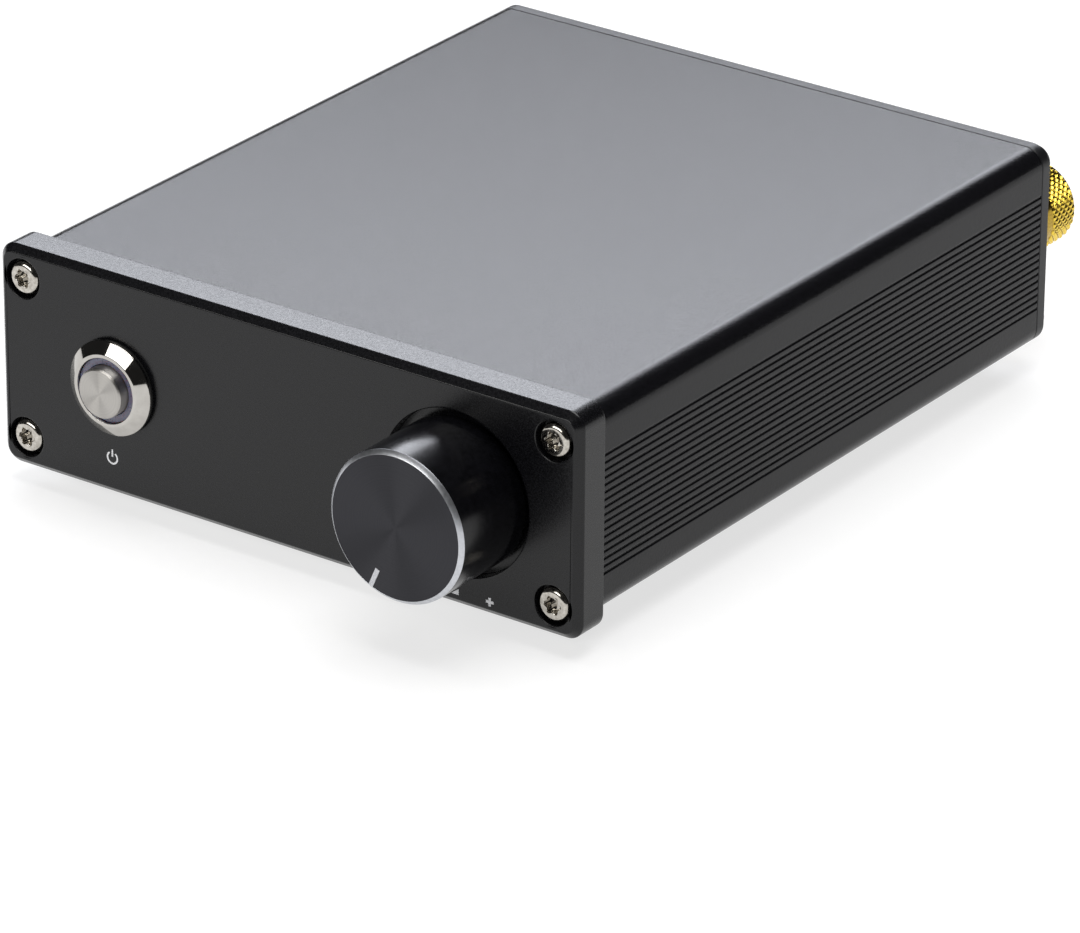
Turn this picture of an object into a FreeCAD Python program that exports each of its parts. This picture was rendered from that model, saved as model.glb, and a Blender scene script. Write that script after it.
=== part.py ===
import FreeCAD, Part
import math
import os

# Phono preamplifier in an extruded aluminium case, in millimetres.
# +X is to the right seen from the front, +Y runs from the front panel to the back, +Z is up.
# The feet stand on z = 0, and the origin is below the middle of the whole object.

# Extruded case sleeve
CASE_WIDTH = 95.0
CASE_HEIGHT = 30.2
CASE_LENGTH = 108.4
CASE_CORNER_R = 3.0
CASE_WALL = 1.8
GROOVE_COUNT = 17
GROOVE_PITCH = 1.07
GROOVE_MOUTH = 0.7
GROOVE_FLOOR = 0.3
GROOVE_DEPTH = 0.45
GROOVE_BAND_DROP = 0.4
CHANNEL_R = 3.0
CHANNEL_MOUTH = 1.4
SLOT_RIB_REACH = 2.4
SLOT_RIB_THICKNESS = 1.0

# Front panel, a little wider and higher than the sleeve
PANEL_SIDE_STEP = 1.0
PANEL_TOP_STEP = 1.25
PANEL_WIDTH = CASE_WIDTH + 2 * PANEL_SIDE_STEP
PANEL_HEIGHT = CASE_HEIGHT + 2 * PANEL_TOP_STEP
PANEL_THICKNESS = 5.6
PANEL_CORNER_R = 2.5
PANEL_CHAMFER = 1.0

# Rear panel
REAR_THICKNESS = 2.0

# Panel screws, M2.5 with pan heads
SCREW_INSET = 3.3
SCREW_R = 1.25
SCREW_GRIP = 9.0
SCREW_HEAD_R = 2.45
SCREW_HEAD_HEIGHT = 1.9
SCREW_DOME = 0.5
SCREW_SOCKET_R = 0.95
SCREW_LOBE_R = 0.3
SCREW_SOCKET_DEPTH = 1.1
SCREW_SINK_R = 3.05
SCREW_SINK_DEPTH = 1.9
SCREW_HOLE_PLAY = 0.2

# Rubber feet
FOOT_HEIGHT = 4.0
FOOT_R = 5.5
FOOT_TAPER = 0.8
FOOT_FILLET = 0.7
FOOT_INSET_X = 11.0
FOOT_INSET_Y = 13.0

# Volume control
KNOB_INSET = 19.0
KNOB_R = 10.8
KNOB_REACH = 13.2
KNOB_SINK = 1.0
KNOB_BEVEL = 0.7
KNOB_BACK_BEVEL = 0.3
KNOB_CAVITY_R = 8.6
KNOB_CAVITY_DEPTH = 5.0
KNOB_POINTER_ANGLE = 23.0
KNOB_POINTER_WIDTH = 0.85
KNOB_POINTER_LENGTH = 3.5
KNOB_POINTER_DEPTH = 0.25
KNOB_RECESS_R = 11.9
KNOB_RECESS_DEPTH = 2.0
SET_SCREW_R = 1.5
SET_SCREW_LENGTH = 5.0
SET_SCREW_SETBACK = 7.0
SET_SCREW_SOCKET_R = 0.85
SET_SCREW_SOCKET_DEPTH = 1.5
SHAFT_R = 3.0
SHAFT_FLAT = 1.5
SHAFT_SETBACK = 4.4
SHAFT_BLIND = 1.2
SHAFT_ENTRY = 5.0
BUSHING_R = 3.5
BUSHING_LENGTH = 7.0
POT_WIDTH = 9.8
POT_DEPTH = 12.0
POT_TOP = 5.0
POT_EDGE = 0.6
POT_WASHER_R = 5.2
POT_WASHER_THICKNESS = 0.5
POT_NUT_FLATS = 10.0
POT_NUT_THICKNESS = 2.0
POT_PIN_R = 0.4
POT_PIN_PITCH = 2.5
POT_PIN_ROW_GAP = 5.0
POT_PIN_REACH = 3.2

# Power switch, threaded M12
SWITCH_INSET = 18.9
SWITCH_BARREL_R = 6.0
SWITCH_HEAD_STEP = 0.9
SWITCH_HEAD_R = SWITCH_BARREL_R + SWITCH_HEAD_STEP
SWITCH_RIM = 0.4
SWITCH_BEVEL_HEIGHT = 1.1
SWITCH_LIP_R = 5.25
SWITCH_MOUTH_R = 4.75
SWITCH_BARREL_LENGTH = 16.0
SWITCH_WALL = 0.7
SWITCH_SEAL_THICKNESS = 0.5
SWITCH_SEAL_STEP = 0.7
SWITCH_SEAL_R = SWITCH_BARREL_R + SWITCH_SEAL_STEP
SWITCH_NUT_WALL = 1.0
SWITCH_NUT_FLATS = 2 * (SWITCH_BARREL_R + SWITCH_NUT_WALL)
SWITCH_NUT_THICKNESS = 2.2
LIGHT_RING_SINK = 0.45
LIGHT_RING_LENGTH = 3.0
BUTTON_R = 3.6
BUTTON_REACH = 1.3
BUTTON_LENGTH = 7.5
BUTTON_EDGE = 0.25
BUTTON_TRAVEL = 2.0
BUTTON_END_ROOM = 1.5
SWITCH_BASE_LENGTH = 9.5
TERMINAL_COUNT = 4
TERMINAL_PITCH = 2.5
TERMINAL_WIDTH = 1.4
TERMINAL_THICKNESS = 0.5
TERMINAL_LENGTH = 4.0

# Wires from the switch to the board
WIRE_R = 0.6
WIRE_BACK_RUN = 4.0
WIRE_BEND_R = 2.4
PLUG_WIRE_DROP = 0.5
PLUG_DEPTH = 4.5
PLUG_MARGIN = 1.6
HEADER_HEIGHT = 2.4
HEADER_LIP = 0.8

# Circuit board and what it carries
BOARD_CHANNEL_GAP = 0.7
BOARD_THICKNESS = 1.6
BOARD_END_GAP = 1.0
BOARD_NOTCH_GAP = 0.6
CAN_R = 5.0
CAN_HEIGHT = 16.0
CAN_RIB_GAP = 1.8
CAN_PITCH = 12.0
CAN_COUNT = 2
CAN_BACK_GAP = 27.0
CAN_BEVEL = 0.5
SMALL_CAN_R = 3.15
SMALL_CAN_HEIGHT = 11.0
SMALL_CAN_SPREAD = 46.0
SMALL_CAN_PITCH = 16.0
FILM_CAP_WIDTH = 3.5
FILM_CAP_LENGTH = 7.2
FILM_CAP_HEIGHT = 7.5
FILM_CAP_EDGE = 0.4
FILM_CAP_PITCH = 6.5
FILM_CAP_COUNT = 3
CHIP_SPREAD = 9.0
CHIP_WIDTH = 6.4
CHIP_LENGTH = 9.4
CHIP_HEIGHT = 3.3
CHIP_NOTCH_R = 0.8
SOCKET_WIDTH = 9.0
SOCKET_LENGTH = 10.2
SOCKET_HEIGHT = 4.2
SOCKET_SLOT_WIDTH = 3.2
SOCKET_BAR = 1.0
RESISTOR_R = 1.15
RESISTOR_LENGTH = 6.3
RESISTOR_END_R = 1.3
RESISTOR_END_LENGTH = 1.2
RESISTOR_PITCH = 4.2
RESISTOR_COUNT = 6
RESISTOR_SPREAD = 20.0
REGULATOR_WIDTH = 10.0
REGULATOR_THICKNESS = 4.4
REGULATOR_HEIGHT = 9.0
TAB_THICKNESS = 1.3
TAB_RISE = 6.0
SINK_WIDTH = 14.0
SINK_DEPTH = 9.0
SINK_HEIGHT = 15.0
SINK_BASE = 1.6
SINK_FIN = 1.0
SINK_FIN_COUNT = 4
SINK_RIB_GAP = 0.6

# Phono sockets in the rear panel
PHONO_COUNT = 4
PHONO_PITCH = 14.5
PHONO_SLEEVE_R = 4.15
PHONO_SLEEVE_REACH = 9.5
PHONO_SLEEVE_SINK = 6.0
PHONO_SLEEVE_BEVEL = 0.35
PHONO_BORE_R = 1.62
PHONO_INSERT_R = 3.3
PHONO_INSERT_SETBACK = 0.3
PHONO_CONTACT_R = 2.2
PHONO_CONTACT_LENGTH = 3.0
PHONO_FLANGE_R = 5.2
PHONO_FLANGE_THICKNESS = 1.0
PHONO_BLOCK_WIDTH = 11.0
PHONO_BLOCK_DEPTH = 11.0
PHONO_BLOCK_TOP = 6.0
PHONO_BLOCK_EDGE = 0.5

# Supply socket in the rear panel
SUPPLY_INSET = 11.0
SUPPLY_NOSE_R = 4.0
SUPPLY_NOSE_REACH = 0.6
SUPPLY_BORE_R = 2.85
SUPPLY_BORE_DEPTH = 9.5
SUPPLY_PIN_R = 1.0
SUPPLY_PIN_SETBACK = 0.8
SUPPLY_PIN_ROOT = 2.0
SUPPLY_PIN_ROOT_R = 1.4
SUPPLY_BLOCK_WIDTH = 9.0
SUPPLY_BLOCK_DEPTH = 12.0
SUPPLY_BLOCK_TOP = 4.5
SUPPLY_BLOCK_EDGE = 0.5

# Earth terminal in the rear panel
EARTH_INSET = 9.8
EARTH_STUD_R = 2.0
EARTH_REACH = 13.8
EARTH_STUD_REACH = 10.0
EARTH_STUD_TAIL = 7.0
EARTH_FLANGE_R = 5.0
EARTH_FLANGE_THICKNESS = 1.5
EARTH_WASHER_R = 5.6
EARTH_WASHER_THICKNESS = 1.6
EARTH_NUT_R = 6.35
EARTH_NUT_BEVEL = 0.6
EARTH_NUT_CROWN = 1.2
EARTH_SHOULDER_R = 6.1
EARTH_SHOULDER_LENGTH = 4.2
EARTH_FLUTE_COUNT = 40
EARTH_FLUTE_DEPTH = 0.3
EARTH_BACK_NUT_FLATS = 7.0
EARTH_BACK_NUT_THICKNESS = 3.0
EARTH_TAG_R = 3.8
EARTH_TAG_THICKNESS = 0.5
EARTH_TAG_TONGUE = 8.0
EARTH_TAG_WIDTH = 3.0

# Clearances
RUNNING_PLAY = 0.05
ASSEMBLY_PLAY = 0.1
HOLE_PLAY = 0.25
CUT_PAST = 1.0

# Places worked out from the sizes
MID_Z = FOOT_HEIGHT + CASE_HEIGHT / 2
DEPTH = PANEL_THICKNESS + CASE_LENGTH + REAR_THICKNESS
FACE_Y = (KNOB_REACH - DEPTH - EARTH_REACH) / 2
CASE_FRONT_Y = FACE_Y + PANEL_THICKNESS
CASE_BACK_Y = CASE_FRONT_Y + CASE_LENGTH
BACK_Y = CASE_BACK_Y + REAR_THICKNESS
INNER_HALF_WIDTH = CASE_WIDTH / 2 - CASE_WALL
INNER_HALF_HEIGHT = CASE_HEIGHT / 2 - CASE_WALL
SCREW_X = CASE_WIDTH / 2 - SCREW_INSET
SCREW_DZ = CASE_HEIGHT / 2 - SCREW_INSET
RIB_X = INNER_HALF_WIDTH - SLOT_RIB_REACH
BOARD_UNDER_Z = MID_Z - SCREW_DZ + CHANNEL_R + BOARD_CHANNEL_GAP
BOARD_TOP_Z = BOARD_UNDER_Z + BOARD_THICKNESS
BOARD_FRONT_Y = CASE_FRONT_Y + BOARD_END_GAP
BOARD_BACK_Y = CASE_BACK_Y - BOARD_END_GAP
BOARD_HALF_WIDTH = INNER_HALF_WIDTH - HOLE_PLAY
BOARD_MID_Y = (BOARD_FRONT_Y + BOARD_BACK_Y) / 2
KNOB_X = CASE_WIDTH / 2 - KNOB_INSET
SWITCH_X = SWITCH_INSET - CASE_WIDTH / 2
SUPPLY_X = SUPPLY_INSET - CASE_WIDTH / 2
EARTH_X = CASE_WIDTH / 2 - EARTH_INSET
PHONO_FIRST_X = (SUPPLY_X + EARTH_X + PHONO_PITCH * (PHONO_COUNT - 1)) / 2
CAN_X = CAN_R + CAN_RIB_GAP - RIB_X
REGULATOR_X = RIB_X - SINK_RIB_GAP - SINK_WIDTH / 2
KNOB_FRONT_Y = FACE_Y - KNOB_REACH
KNOB_BACK_Y = FACE_Y + KNOB_SINK
RECESS_FLOOR_Y = FACE_Y + KNOB_RECESS_DEPTH
SHAFT_FRONT_Y = KNOB_FRONT_Y + SHAFT_SETBACK
SWITCH_RIM_Y = FACE_Y - SWITCH_SEAL_THICKNESS
SWITCH_LIP_Y = SWITCH_RIM_Y - SWITCH_RIM - SWITCH_BEVEL_HEIGHT
SWITCH_BORE_R = BUTTON_R + ASSEMBLY_PLAY
BUTTON_FRONT_Y = SWITCH_LIP_Y - BUTTON_REACH
BUTTON_BACK_Y = BUTTON_FRONT_Y + BUTTON_LENGTH
SWITCH_BASE_Y = BUTTON_BACK_Y + BUTTON_TRAVEL + BUTTON_END_ROOM
SWITCH_BASE_BACK_Y = SWITCH_BASE_Y + SWITCH_BASE_LENGTH
TERMINAL_BACK_Y = SWITCH_BASE_BACK_Y + TERMINAL_LENGTH
WIRE_DOWN_Y = TERMINAL_BACK_Y + WIRE_BACK_RUN + WIRE_BEND_R
PLUG_TOP_Z = MID_Z - WIRE_BEND_R - PLUG_WIRE_DROP
EARTH_NUT_Y = BACK_Y + EARTH_FLANGE_THICKNESS + EARTH_WASHER_THICKNESS
EARTH_NUT_BACK_Y = BACK_Y + EARTH_REACH
EARTH_HEAD_Y = EARTH_NUT_Y + EARTH_SHOULDER_LENGTH


def vec(x, y, z):
    return FreeCAD.Vector(x, y, z)


def rod(radius, y0, y1, x, z=MID_Z):
    """Cylinder along Y from y0 to y1."""
    return Part.makeCylinder(radius, y1 - y0, vec(x, y0, z), vec(0, 1, 0))


def ring(outer, inner, y0, y1, x, z=MID_Z):
    """Tube along Y."""
    return drill(rod(outer, y0, y1, x, z), inner, y0, y1, x, z)


def drill(shape, radius, y0, y1, x, z=MID_Z):
    """Cut a hole along Y that runs past both ends of the stretch."""
    return shape.cut(rod(radius, y0 - CUT_PAST, y1 + CUT_PAST, x, z))


def block(x0, x1, y0, y1, z0, z1):
    return Part.makeBox(x1 - x0, y1 - y0, z1 - z0, vec(x0, y0, z0))


def turned(section, x, z=MID_Z):
    """Solid turned about an axis along Y from (radius, y) corners."""
    corners = [vec(radius, y, 0) for radius, y in section]
    face = Part.Face(Part.makePolygon(corners + corners[:1]))
    solid = face.revolve(vec(0, 0, 0), vec(0, 1, 0), 360)
    solid.translate(vec(x, 0, z))
    return solid


def rounded_bar(width, height, radius, y0, y1):
    """Bar along Y with a rounded rectangle for its section, centred on the case's middle."""
    bar = block(-width / 2, width / 2, y0, y1, MID_Z - height / 2, MID_Z + height / 2)
    corners = [edge for edge in bar.Edges if abs(edge.tangentAt(0).y) > 0.5]
    return bar.makeFillet(radius, corners)


def hexagon(flats, y0, y1, x, z=MID_Z):
    """Six-sided bar along Y with two flats upright."""
    reach = flats / math.sqrt(3)
    angles = [math.radians(30 + 60 * side) for side in range(6)]
    corners = [vec(x + reach * math.cos(a), y0, z + reach * math.sin(a)) for a in angles]
    return Part.Face(Part.makePolygon(corners + corners[:1])).extrude(vec(0, y1 - y0, 0))


def hex_nut(flats, bore_r, y0, y1, x):
    """Hexagon nut with its outer corners turned down."""
    reach = flats / math.sqrt(3)
    drop = (reach - flats / 2) * math.tan(math.radians(30))
    crown = turned([(0, y0), (flats / 2, y0), (reach, y0 + drop),
                    (reach, y1 - drop), (flats / 2, y1), (0, y1)], x)
    return drill(hexagon(flats, y0, y1, x).common(crown), bore_r, y0, y1, x)


def edges_along(shape, axis):
    """Straight edges of a block that run along one axis."""
    return [edge for edge in shape.Edges if abs(edge.tangentAt(0).dot(axis)) > 0.9]


def screw_places():
    return [(sx * SCREW_X, MID_Z + sz * SCREW_DZ) for sx in (-1, 1) for sz in (-1, 1)]


def phono_places():
    return [PHONO_FIRST_X - PHONO_PITCH * index for index in range(PHONO_COUNT)]


def terminal_places():
    first = SWITCH_X - TERMINAL_PITCH * (TERMINAL_COUNT - 1) / 2
    return [first + TERMINAL_PITCH * index for index in range(TERMINAL_COUNT)]


# Case

def front_panel():
    """Thick plate with a bevelled face, the knob's recess, two control holes and sunk screw holes."""
    plate = rounded_bar(PANEL_WIDTH, PANEL_HEIGHT, PANEL_CORNER_R, FACE_Y, CASE_FRONT_Y)
    face_edges = [edge for edge in plate.Edges if abs(edge.BoundBox.YMax - FACE_Y) < 0.01]
    plate = plate.makeChamfer(PANEL_CHAMFER, face_edges)
    plate = plate.cut(rod(KNOB_RECESS_R, FACE_Y - CUT_PAST, RECESS_FLOOR_Y, KNOB_X))
    plate = drill(plate, BUSHING_R + ASSEMBLY_PLAY, FACE_Y, CASE_FRONT_Y, KNOB_X)
    plate = drill(plate, SWITCH_BARREL_R + ASSEMBLY_PLAY, FACE_Y, CASE_FRONT_Y, SWITCH_X)
    for x, z in screw_places():
        plate = plate.cut(rod(SCREW_SINK_R, FACE_Y - CUT_PAST, FACE_Y + SCREW_SINK_DEPTH, x, z))
        plate = drill(plate, SCREW_R + SCREW_HOLE_PLAY, FACE_Y, CASE_FRONT_Y, x, z)
    return plate


def groove(side, z):
    """One long shallow groove in a side wall, narrower at its floor."""
    outer_x = side * (CASE_WIDTH / 2 + GROOVE_DEPTH)
    skin_x = side * CASE_WIDTH / 2
    floor_x = side * (CASE_WIDTH / 2 - GROOVE_DEPTH)
    flare = (GROOVE_MOUTH - GROOVE_FLOOR) / 2
    section = [(outer_x, GROOVE_MOUTH / 2 + flare), (skin_x, GROOVE_MOUTH / 2), (floor_x, GROOVE_FLOOR / 2)]
    section += [(x, -half) for x, half in reversed(section)]
    corners = [vec(x, CASE_FRONT_Y - CUT_PAST, z + dz) for x, dz in section]
    face = Part.Face(Part.makePolygon(corners + corners[:1]))
    return face.extrude(vec(0, CASE_LENGTH + 2 * CUT_PAST, 0))


def screw_channel(x, z):
    """Round boss in a corner of the sleeve, open towards the middle by a narrow mouth."""
    boss = ring(CHANNEL_R, SCREW_R + RUNNING_PLAY, CASE_FRONT_Y, CASE_BACK_Y, x, z)
    mouth = block(0, CHANNEL_R + CUT_PAST, CASE_FRONT_Y - CUT_PAST, CASE_BACK_Y + CUT_PAST,
                  -CHANNEL_MOUTH / 2, CHANNEL_MOUTH / 2)
    across = math.copysign(1, x)
    up = math.copysign(1, z - MID_Z)
    mouth.rotate(vec(0, 0, 0), vec(0, 1, 0), math.degrees(math.atan2(up, -across)))
    mouth.translate(vec(x, 0, z))
    return boss.cut(mouth)


def enclosure_body():
    """Extruded sleeve with fine grooves in both sides, corner screw channels and board slots."""
    sleeve = rounded_bar(CASE_WIDTH, CASE_HEIGHT, CASE_CORNER_R, CASE_FRONT_Y, CASE_BACK_Y)
    hollow = rounded_bar(2 * INNER_HALF_WIDTH, 2 * INNER_HALF_HEIGHT, CASE_CORNER_R - CASE_WALL,
                         CASE_FRONT_Y - CUT_PAST, CASE_BACK_Y + CUT_PAST)
    sleeve = sleeve.cut(hollow)
    above_z = BOARD_TOP_Z + ASSEMBLY_PLAY
    for side in (-1, 1):
        x0, x1 = sorted((side * RIB_X, side * (INNER_HALF_WIDTH + CASE_WALL / 2)))
        for z0 in (BOARD_UNDER_Z - SLOT_RIB_THICKNESS, above_z):
            sleeve = sleeve.fuse(block(x0, x1, CASE_FRONT_Y, CASE_BACK_Y, z0, z0 + SLOT_RIB_THICKNESS))
    envelope = rounded_bar(CASE_WIDTH, CASE_HEIGHT, CASE_CORNER_R, CASE_FRONT_Y, CASE_BACK_Y)
    for x, z in screw_places():
        sleeve = sleeve.fuse(screw_channel(x, z).common(envelope))
        sleeve = drill(sleeve, SCREW_R + RUNNING_PLAY, CASE_FRONT_Y, CASE_BACK_Y, x, z)
    band_z = MID_Z - GROOVE_BAND_DROP
    grooves = [groove(side, band_z + GROOVE_PITCH * (index - (GROOVE_COUNT - 1) / 2))
               for side in (-1, 1) for index in range(GROOVE_COUNT)]
    return sleeve.cut(Part.makeCompound(grooves)).removeSplitter()


def rear_panel():
    """Flat plate closing the sleeve, with round holes for sockets, earth terminal and screws."""
    plate = rounded_bar(CASE_WIDTH, CASE_HEIGHT, CASE_CORNER_R, CASE_BACK_Y, BACK_Y)
    holes = [(x, MID_Z, PHONO_SLEEVE_R + HOLE_PLAY) for x in phono_places()]
    holes.append((SUPPLY_X, MID_Z, SUPPLY_NOSE_R + HOLE_PLAY))
    holes.append((EARTH_X, MID_Z, EARTH_STUD_R + ASSEMBLY_PLAY))
    holes += [(x, z, SCREW_R + SCREW_HOLE_PLAY) for x, z in screw_places()]
    for x, z, radius in holes:
        plate = drill(plate, radius, CASE_BACK_Y, BACK_Y, x, z)
    return plate


def panel_screw(x, z, seat_y, into):
    """Pan-head screw with a six-lobed socket. into is +1 where it points to the back, -1 to the front."""
    head_y = seat_y - into * SCREW_HEAD_HEIGHT
    shoulder_y = head_y + into * SCREW_DOME
    tip_y = seat_y + into * SCREW_GRIP
    screw = turned([(0, head_y), (SCREW_HEAD_R - SCREW_DOME, head_y), (SCREW_HEAD_R, shoulder_y),
                    (SCREW_HEAD_R, seat_y), (SCREW_R, seat_y), (SCREW_R, tip_y), (0, tip_y)], x, z)
    y0, y1 = sorted((head_y - into * CUT_PAST, head_y + into * SCREW_SOCKET_DEPTH))
    screw = screw.cut(rod(SCREW_SOCKET_R, y0, y1, x, z))
    for lobe in range(6):
        angle = math.radians(60 * lobe)
        screw = screw.cut(rod(SCREW_LOBE_R, y0, y1, x + SCREW_SOCKET_R * math.cos(angle),
                              z + SCREW_SOCKET_R * math.sin(angle)))
    return screw


def front_screws():
    seat_y = FACE_Y + SCREW_SINK_DEPTH
    return Part.makeCompound([panel_screw(x, z, seat_y, 1) for x, z in screw_places()])


def rear_screws():
    return Part.makeCompound([panel_screw(x, z, BACK_Y, -1) for x, z in screw_places()])


def rubber_foot(x, y):
    """Tapered round foot, rounded where it stands."""
    foot = Part.makeCone(FOOT_R - FOOT_TAPER, FOOT_R, FOOT_HEIGHT, vec(x, y, 0), vec(0, 0, 1))
    ground = [edge for edge in foot.Edges if edge.BoundBox.ZMax < 0.01]
    return foot.makeFillet(FOOT_FILLET, ground)


def rubber_feet():
    x = CASE_WIDTH / 2 - FOOT_INSET_X
    rows = (CASE_FRONT_Y + FOOT_INSET_Y, CASE_BACK_Y - FOOT_INSET_Y)
    return Part.makeCompound([rubber_foot(side * x, y) for side in (-1, 1) for y in rows])


# Volume control

def towards_pointer(shape):
    """Turn a shape built straight down from the knob's axis to the pointer's rest angle."""
    shape.rotate(vec(KNOB_X, 0, MID_Z), vec(0, 1, 0), KNOB_POINTER_ANGLE)
    return shape


def d_rod(radius, flat, y0, y1):
    """Rod on the knob's axis with one flat, which faces the pointer."""
    bar = rod(radius, y0, y1, KNOB_X)
    low_z = MID_Z - radius - CUT_PAST
    chip = block(KNOB_X - radius - CUT_PAST, KNOB_X + radius + CUT_PAST, y0 - CUT_PAST, y1 + CUT_PAST,
                 low_z, MID_Z - radius + flat)
    return bar.cut(towards_pointer(chip))


def volume_knob():
    """Turned knob: bevelled rim, hollow back, bore with a flat, pointer groove and set screw hole."""
    floor_y = KNOB_BACK_Y - KNOB_CAVITY_DEPTH
    knob = turned([(0, KNOB_FRONT_Y), (KNOB_R - KNOB_BEVEL, KNOB_FRONT_Y),
                   (KNOB_R, KNOB_FRONT_Y + KNOB_BEVEL), (KNOB_R, KNOB_BACK_Y - KNOB_BACK_BEVEL),
                   (KNOB_R - KNOB_BACK_BEVEL, KNOB_BACK_Y),
                   (KNOB_CAVITY_R, KNOB_BACK_Y), (KNOB_CAVITY_R, floor_y), (0, floor_y)], KNOB_X)
    bore = d_rod(SHAFT_R + RUNNING_PLAY, SHAFT_FLAT, SHAFT_FRONT_Y - SHAFT_BLIND, floor_y + CUT_PAST)
    knob = knob.cut(bore)
    pointer = block(KNOB_X - KNOB_POINTER_WIDTH / 2, KNOB_X + KNOB_POINTER_WIDTH / 2,
                    KNOB_FRONT_Y - CUT_PAST, KNOB_FRONT_Y + KNOB_POINTER_DEPTH,
                    MID_Z - KNOB_R - CUT_PAST, MID_Z - KNOB_R + KNOB_POINTER_LENGTH)
    knob = knob.cut(towards_pointer(pointer))
    hole = Part.makeCylinder(SET_SCREW_R + RUNNING_PLAY, KNOB_R + CUT_PAST,
                             vec(KNOB_X, KNOB_FRONT_Y + SET_SCREW_SETBACK, MID_Z), vec(0, 0, -1))
    return knob.cut(towards_pointer(hole))


def knob_set_screw():
    """Headless screw with a hexagon socket, tight on the flat of the shaft."""
    flat_z = MID_Z - SHAFT_R + SHAFT_FLAT
    y = KNOB_FRONT_Y + SET_SCREW_SETBACK
    screw = Part.makeCylinder(SET_SCREW_R, SET_SCREW_LENGTH, vec(KNOB_X, y, flat_z), vec(0, 0, -1))
    end_z = flat_z - SET_SCREW_LENGTH
    angles = [math.radians(60 * side) for side in range(6)]
    corners = [vec(KNOB_X + SET_SCREW_SOCKET_R * math.cos(a), y + SET_SCREW_SOCKET_R * math.sin(a), end_z)
               for a in angles]
    socket = Part.Face(Part.makePolygon(corners + corners[:1])).extrude(vec(0, 0, SET_SCREW_SOCKET_DEPTH))
    return towards_pointer(screw.cut(socket))


def pot_shaft():
    """Control shaft, round in its bushing and with a flat where the knob sits."""
    flat_end_y = KNOB_BACK_Y - KNOB_CAVITY_DEPTH
    back_y = CASE_FRONT_Y + SHAFT_ENTRY
    front = d_rod(SHAFT_R, SHAFT_FLAT, SHAFT_FRONT_Y, flat_end_y)
    return front.fuse(rod(SHAFT_R, flat_end_y, back_y, KNOB_X)).removeSplitter()


def pot_housing():
    """Volume control body with its bushing, which passes through the front panel."""
    body = block(KNOB_X - POT_WIDTH / 2, KNOB_X + POT_WIDTH / 2, CASE_FRONT_Y, CASE_FRONT_Y + POT_DEPTH,
                 BOARD_TOP_Z, MID_Z + POT_TOP)
    body = body.makeChamfer(POT_EDGE, edges_along(body, vec(0, 1, 0)))
    body = body.fuse(rod(BUSHING_R, CASE_FRONT_Y - BUSHING_LENGTH, CASE_FRONT_Y, KNOB_X))
    bore_end_y = CASE_FRONT_Y + SHAFT_ENTRY + RUNNING_PLAY
    bore_y = CASE_FRONT_Y - BUSHING_LENGTH - CUT_PAST
    return body.cut(rod(SHAFT_R + RUNNING_PLAY, bore_y, bore_end_y, KNOB_X))


def pot_washer():
    y1 = RECESS_FLOOR_Y
    return ring(POT_WASHER_R, BUSHING_R + RUNNING_PLAY, y1 - POT_WASHER_THICKNESS, y1, KNOB_X)


def pot_nut():
    y1 = RECESS_FLOOR_Y - POT_WASHER_THICKNESS
    return hex_nut(POT_NUT_FLATS, BUSHING_R + RUNNING_PLAY, y1 - POT_NUT_THICKNESS, y1, KNOB_X)


def pot_pin_places():
    rows = [CASE_FRONT_Y + POT_DEPTH / 2 + side * POT_PIN_ROW_GAP / 2 for side in (-1, 1)]
    return [(KNOB_X + POT_PIN_PITCH * step, y) for y in rows for step in (-1, 0, 1)]


def pot_pins():
    """Six pins from the volume control down through the board."""
    z0 = BOARD_TOP_Z - POT_PIN_REACH
    return Part.makeCompound([Part.makeCylinder(POT_PIN_R, POT_PIN_REACH, vec(x, y, z0))
                              for x, y in pot_pin_places()])


# Power switch

def switch_body():
    """Plated head with a wide bevel and its threaded barrel, bored for the light ring and the button."""
    back_y = FACE_Y + SWITCH_BARREL_LENGTH
    ring_back_y = SWITCH_LIP_Y + LIGHT_RING_SINK + LIGHT_RING_LENGTH
    socket_r = SWITCH_BARREL_R - SWITCH_WALL
    return turned([(SWITCH_MOUTH_R, SWITCH_LIP_Y), (SWITCH_LIP_R, SWITCH_LIP_Y),
                   (SWITCH_HEAD_R, SWITCH_RIM_Y - SWITCH_RIM), (SWITCH_HEAD_R, SWITCH_RIM_Y),
                   (SWITCH_BARREL_R, SWITCH_RIM_Y), (SWITCH_BARREL_R, back_y), (socket_r, back_y),
                   (socket_r, SWITCH_BASE_Y), (SWITCH_BORE_R, SWITCH_BASE_Y),
                   (SWITCH_BORE_R, ring_back_y), (SWITCH_MOUTH_R, ring_back_y)], SWITCH_X)


def switch_light_ring():
    """Clear ring round the button that the lamp shines through."""
    y0 = SWITCH_LIP_Y + LIGHT_RING_SINK
    return ring(SWITCH_MOUTH_R - RUNNING_PLAY, SWITCH_BORE_R, y0, y0 + LIGHT_RING_LENGTH, SWITCH_X)


def power_button_cap():
    """Round metal button with a slightly broken edge."""
    return turned([(0, BUTTON_FRONT_Y), (BUTTON_R - BUTTON_EDGE, BUTTON_FRONT_Y),
                   (BUTTON_R, BUTTON_FRONT_Y + BUTTON_EDGE), (BUTTON_R, BUTTON_BACK_Y),
                   (0, BUTTON_BACK_Y)], SWITCH_X)


def switch_seal():
    return ring(SWITCH_SEAL_R, SWITCH_BARREL_R + RUNNING_PLAY, SWITCH_RIM_Y, FACE_Y, SWITCH_X)


def switch_nut():
    y0 = CASE_FRONT_Y
    bore_r = SWITCH_BARREL_R + RUNNING_PLAY
    return hex_nut(SWITCH_NUT_FLATS, bore_r, y0, y0 + SWITCH_NUT_THICKNESS, SWITCH_X)


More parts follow.
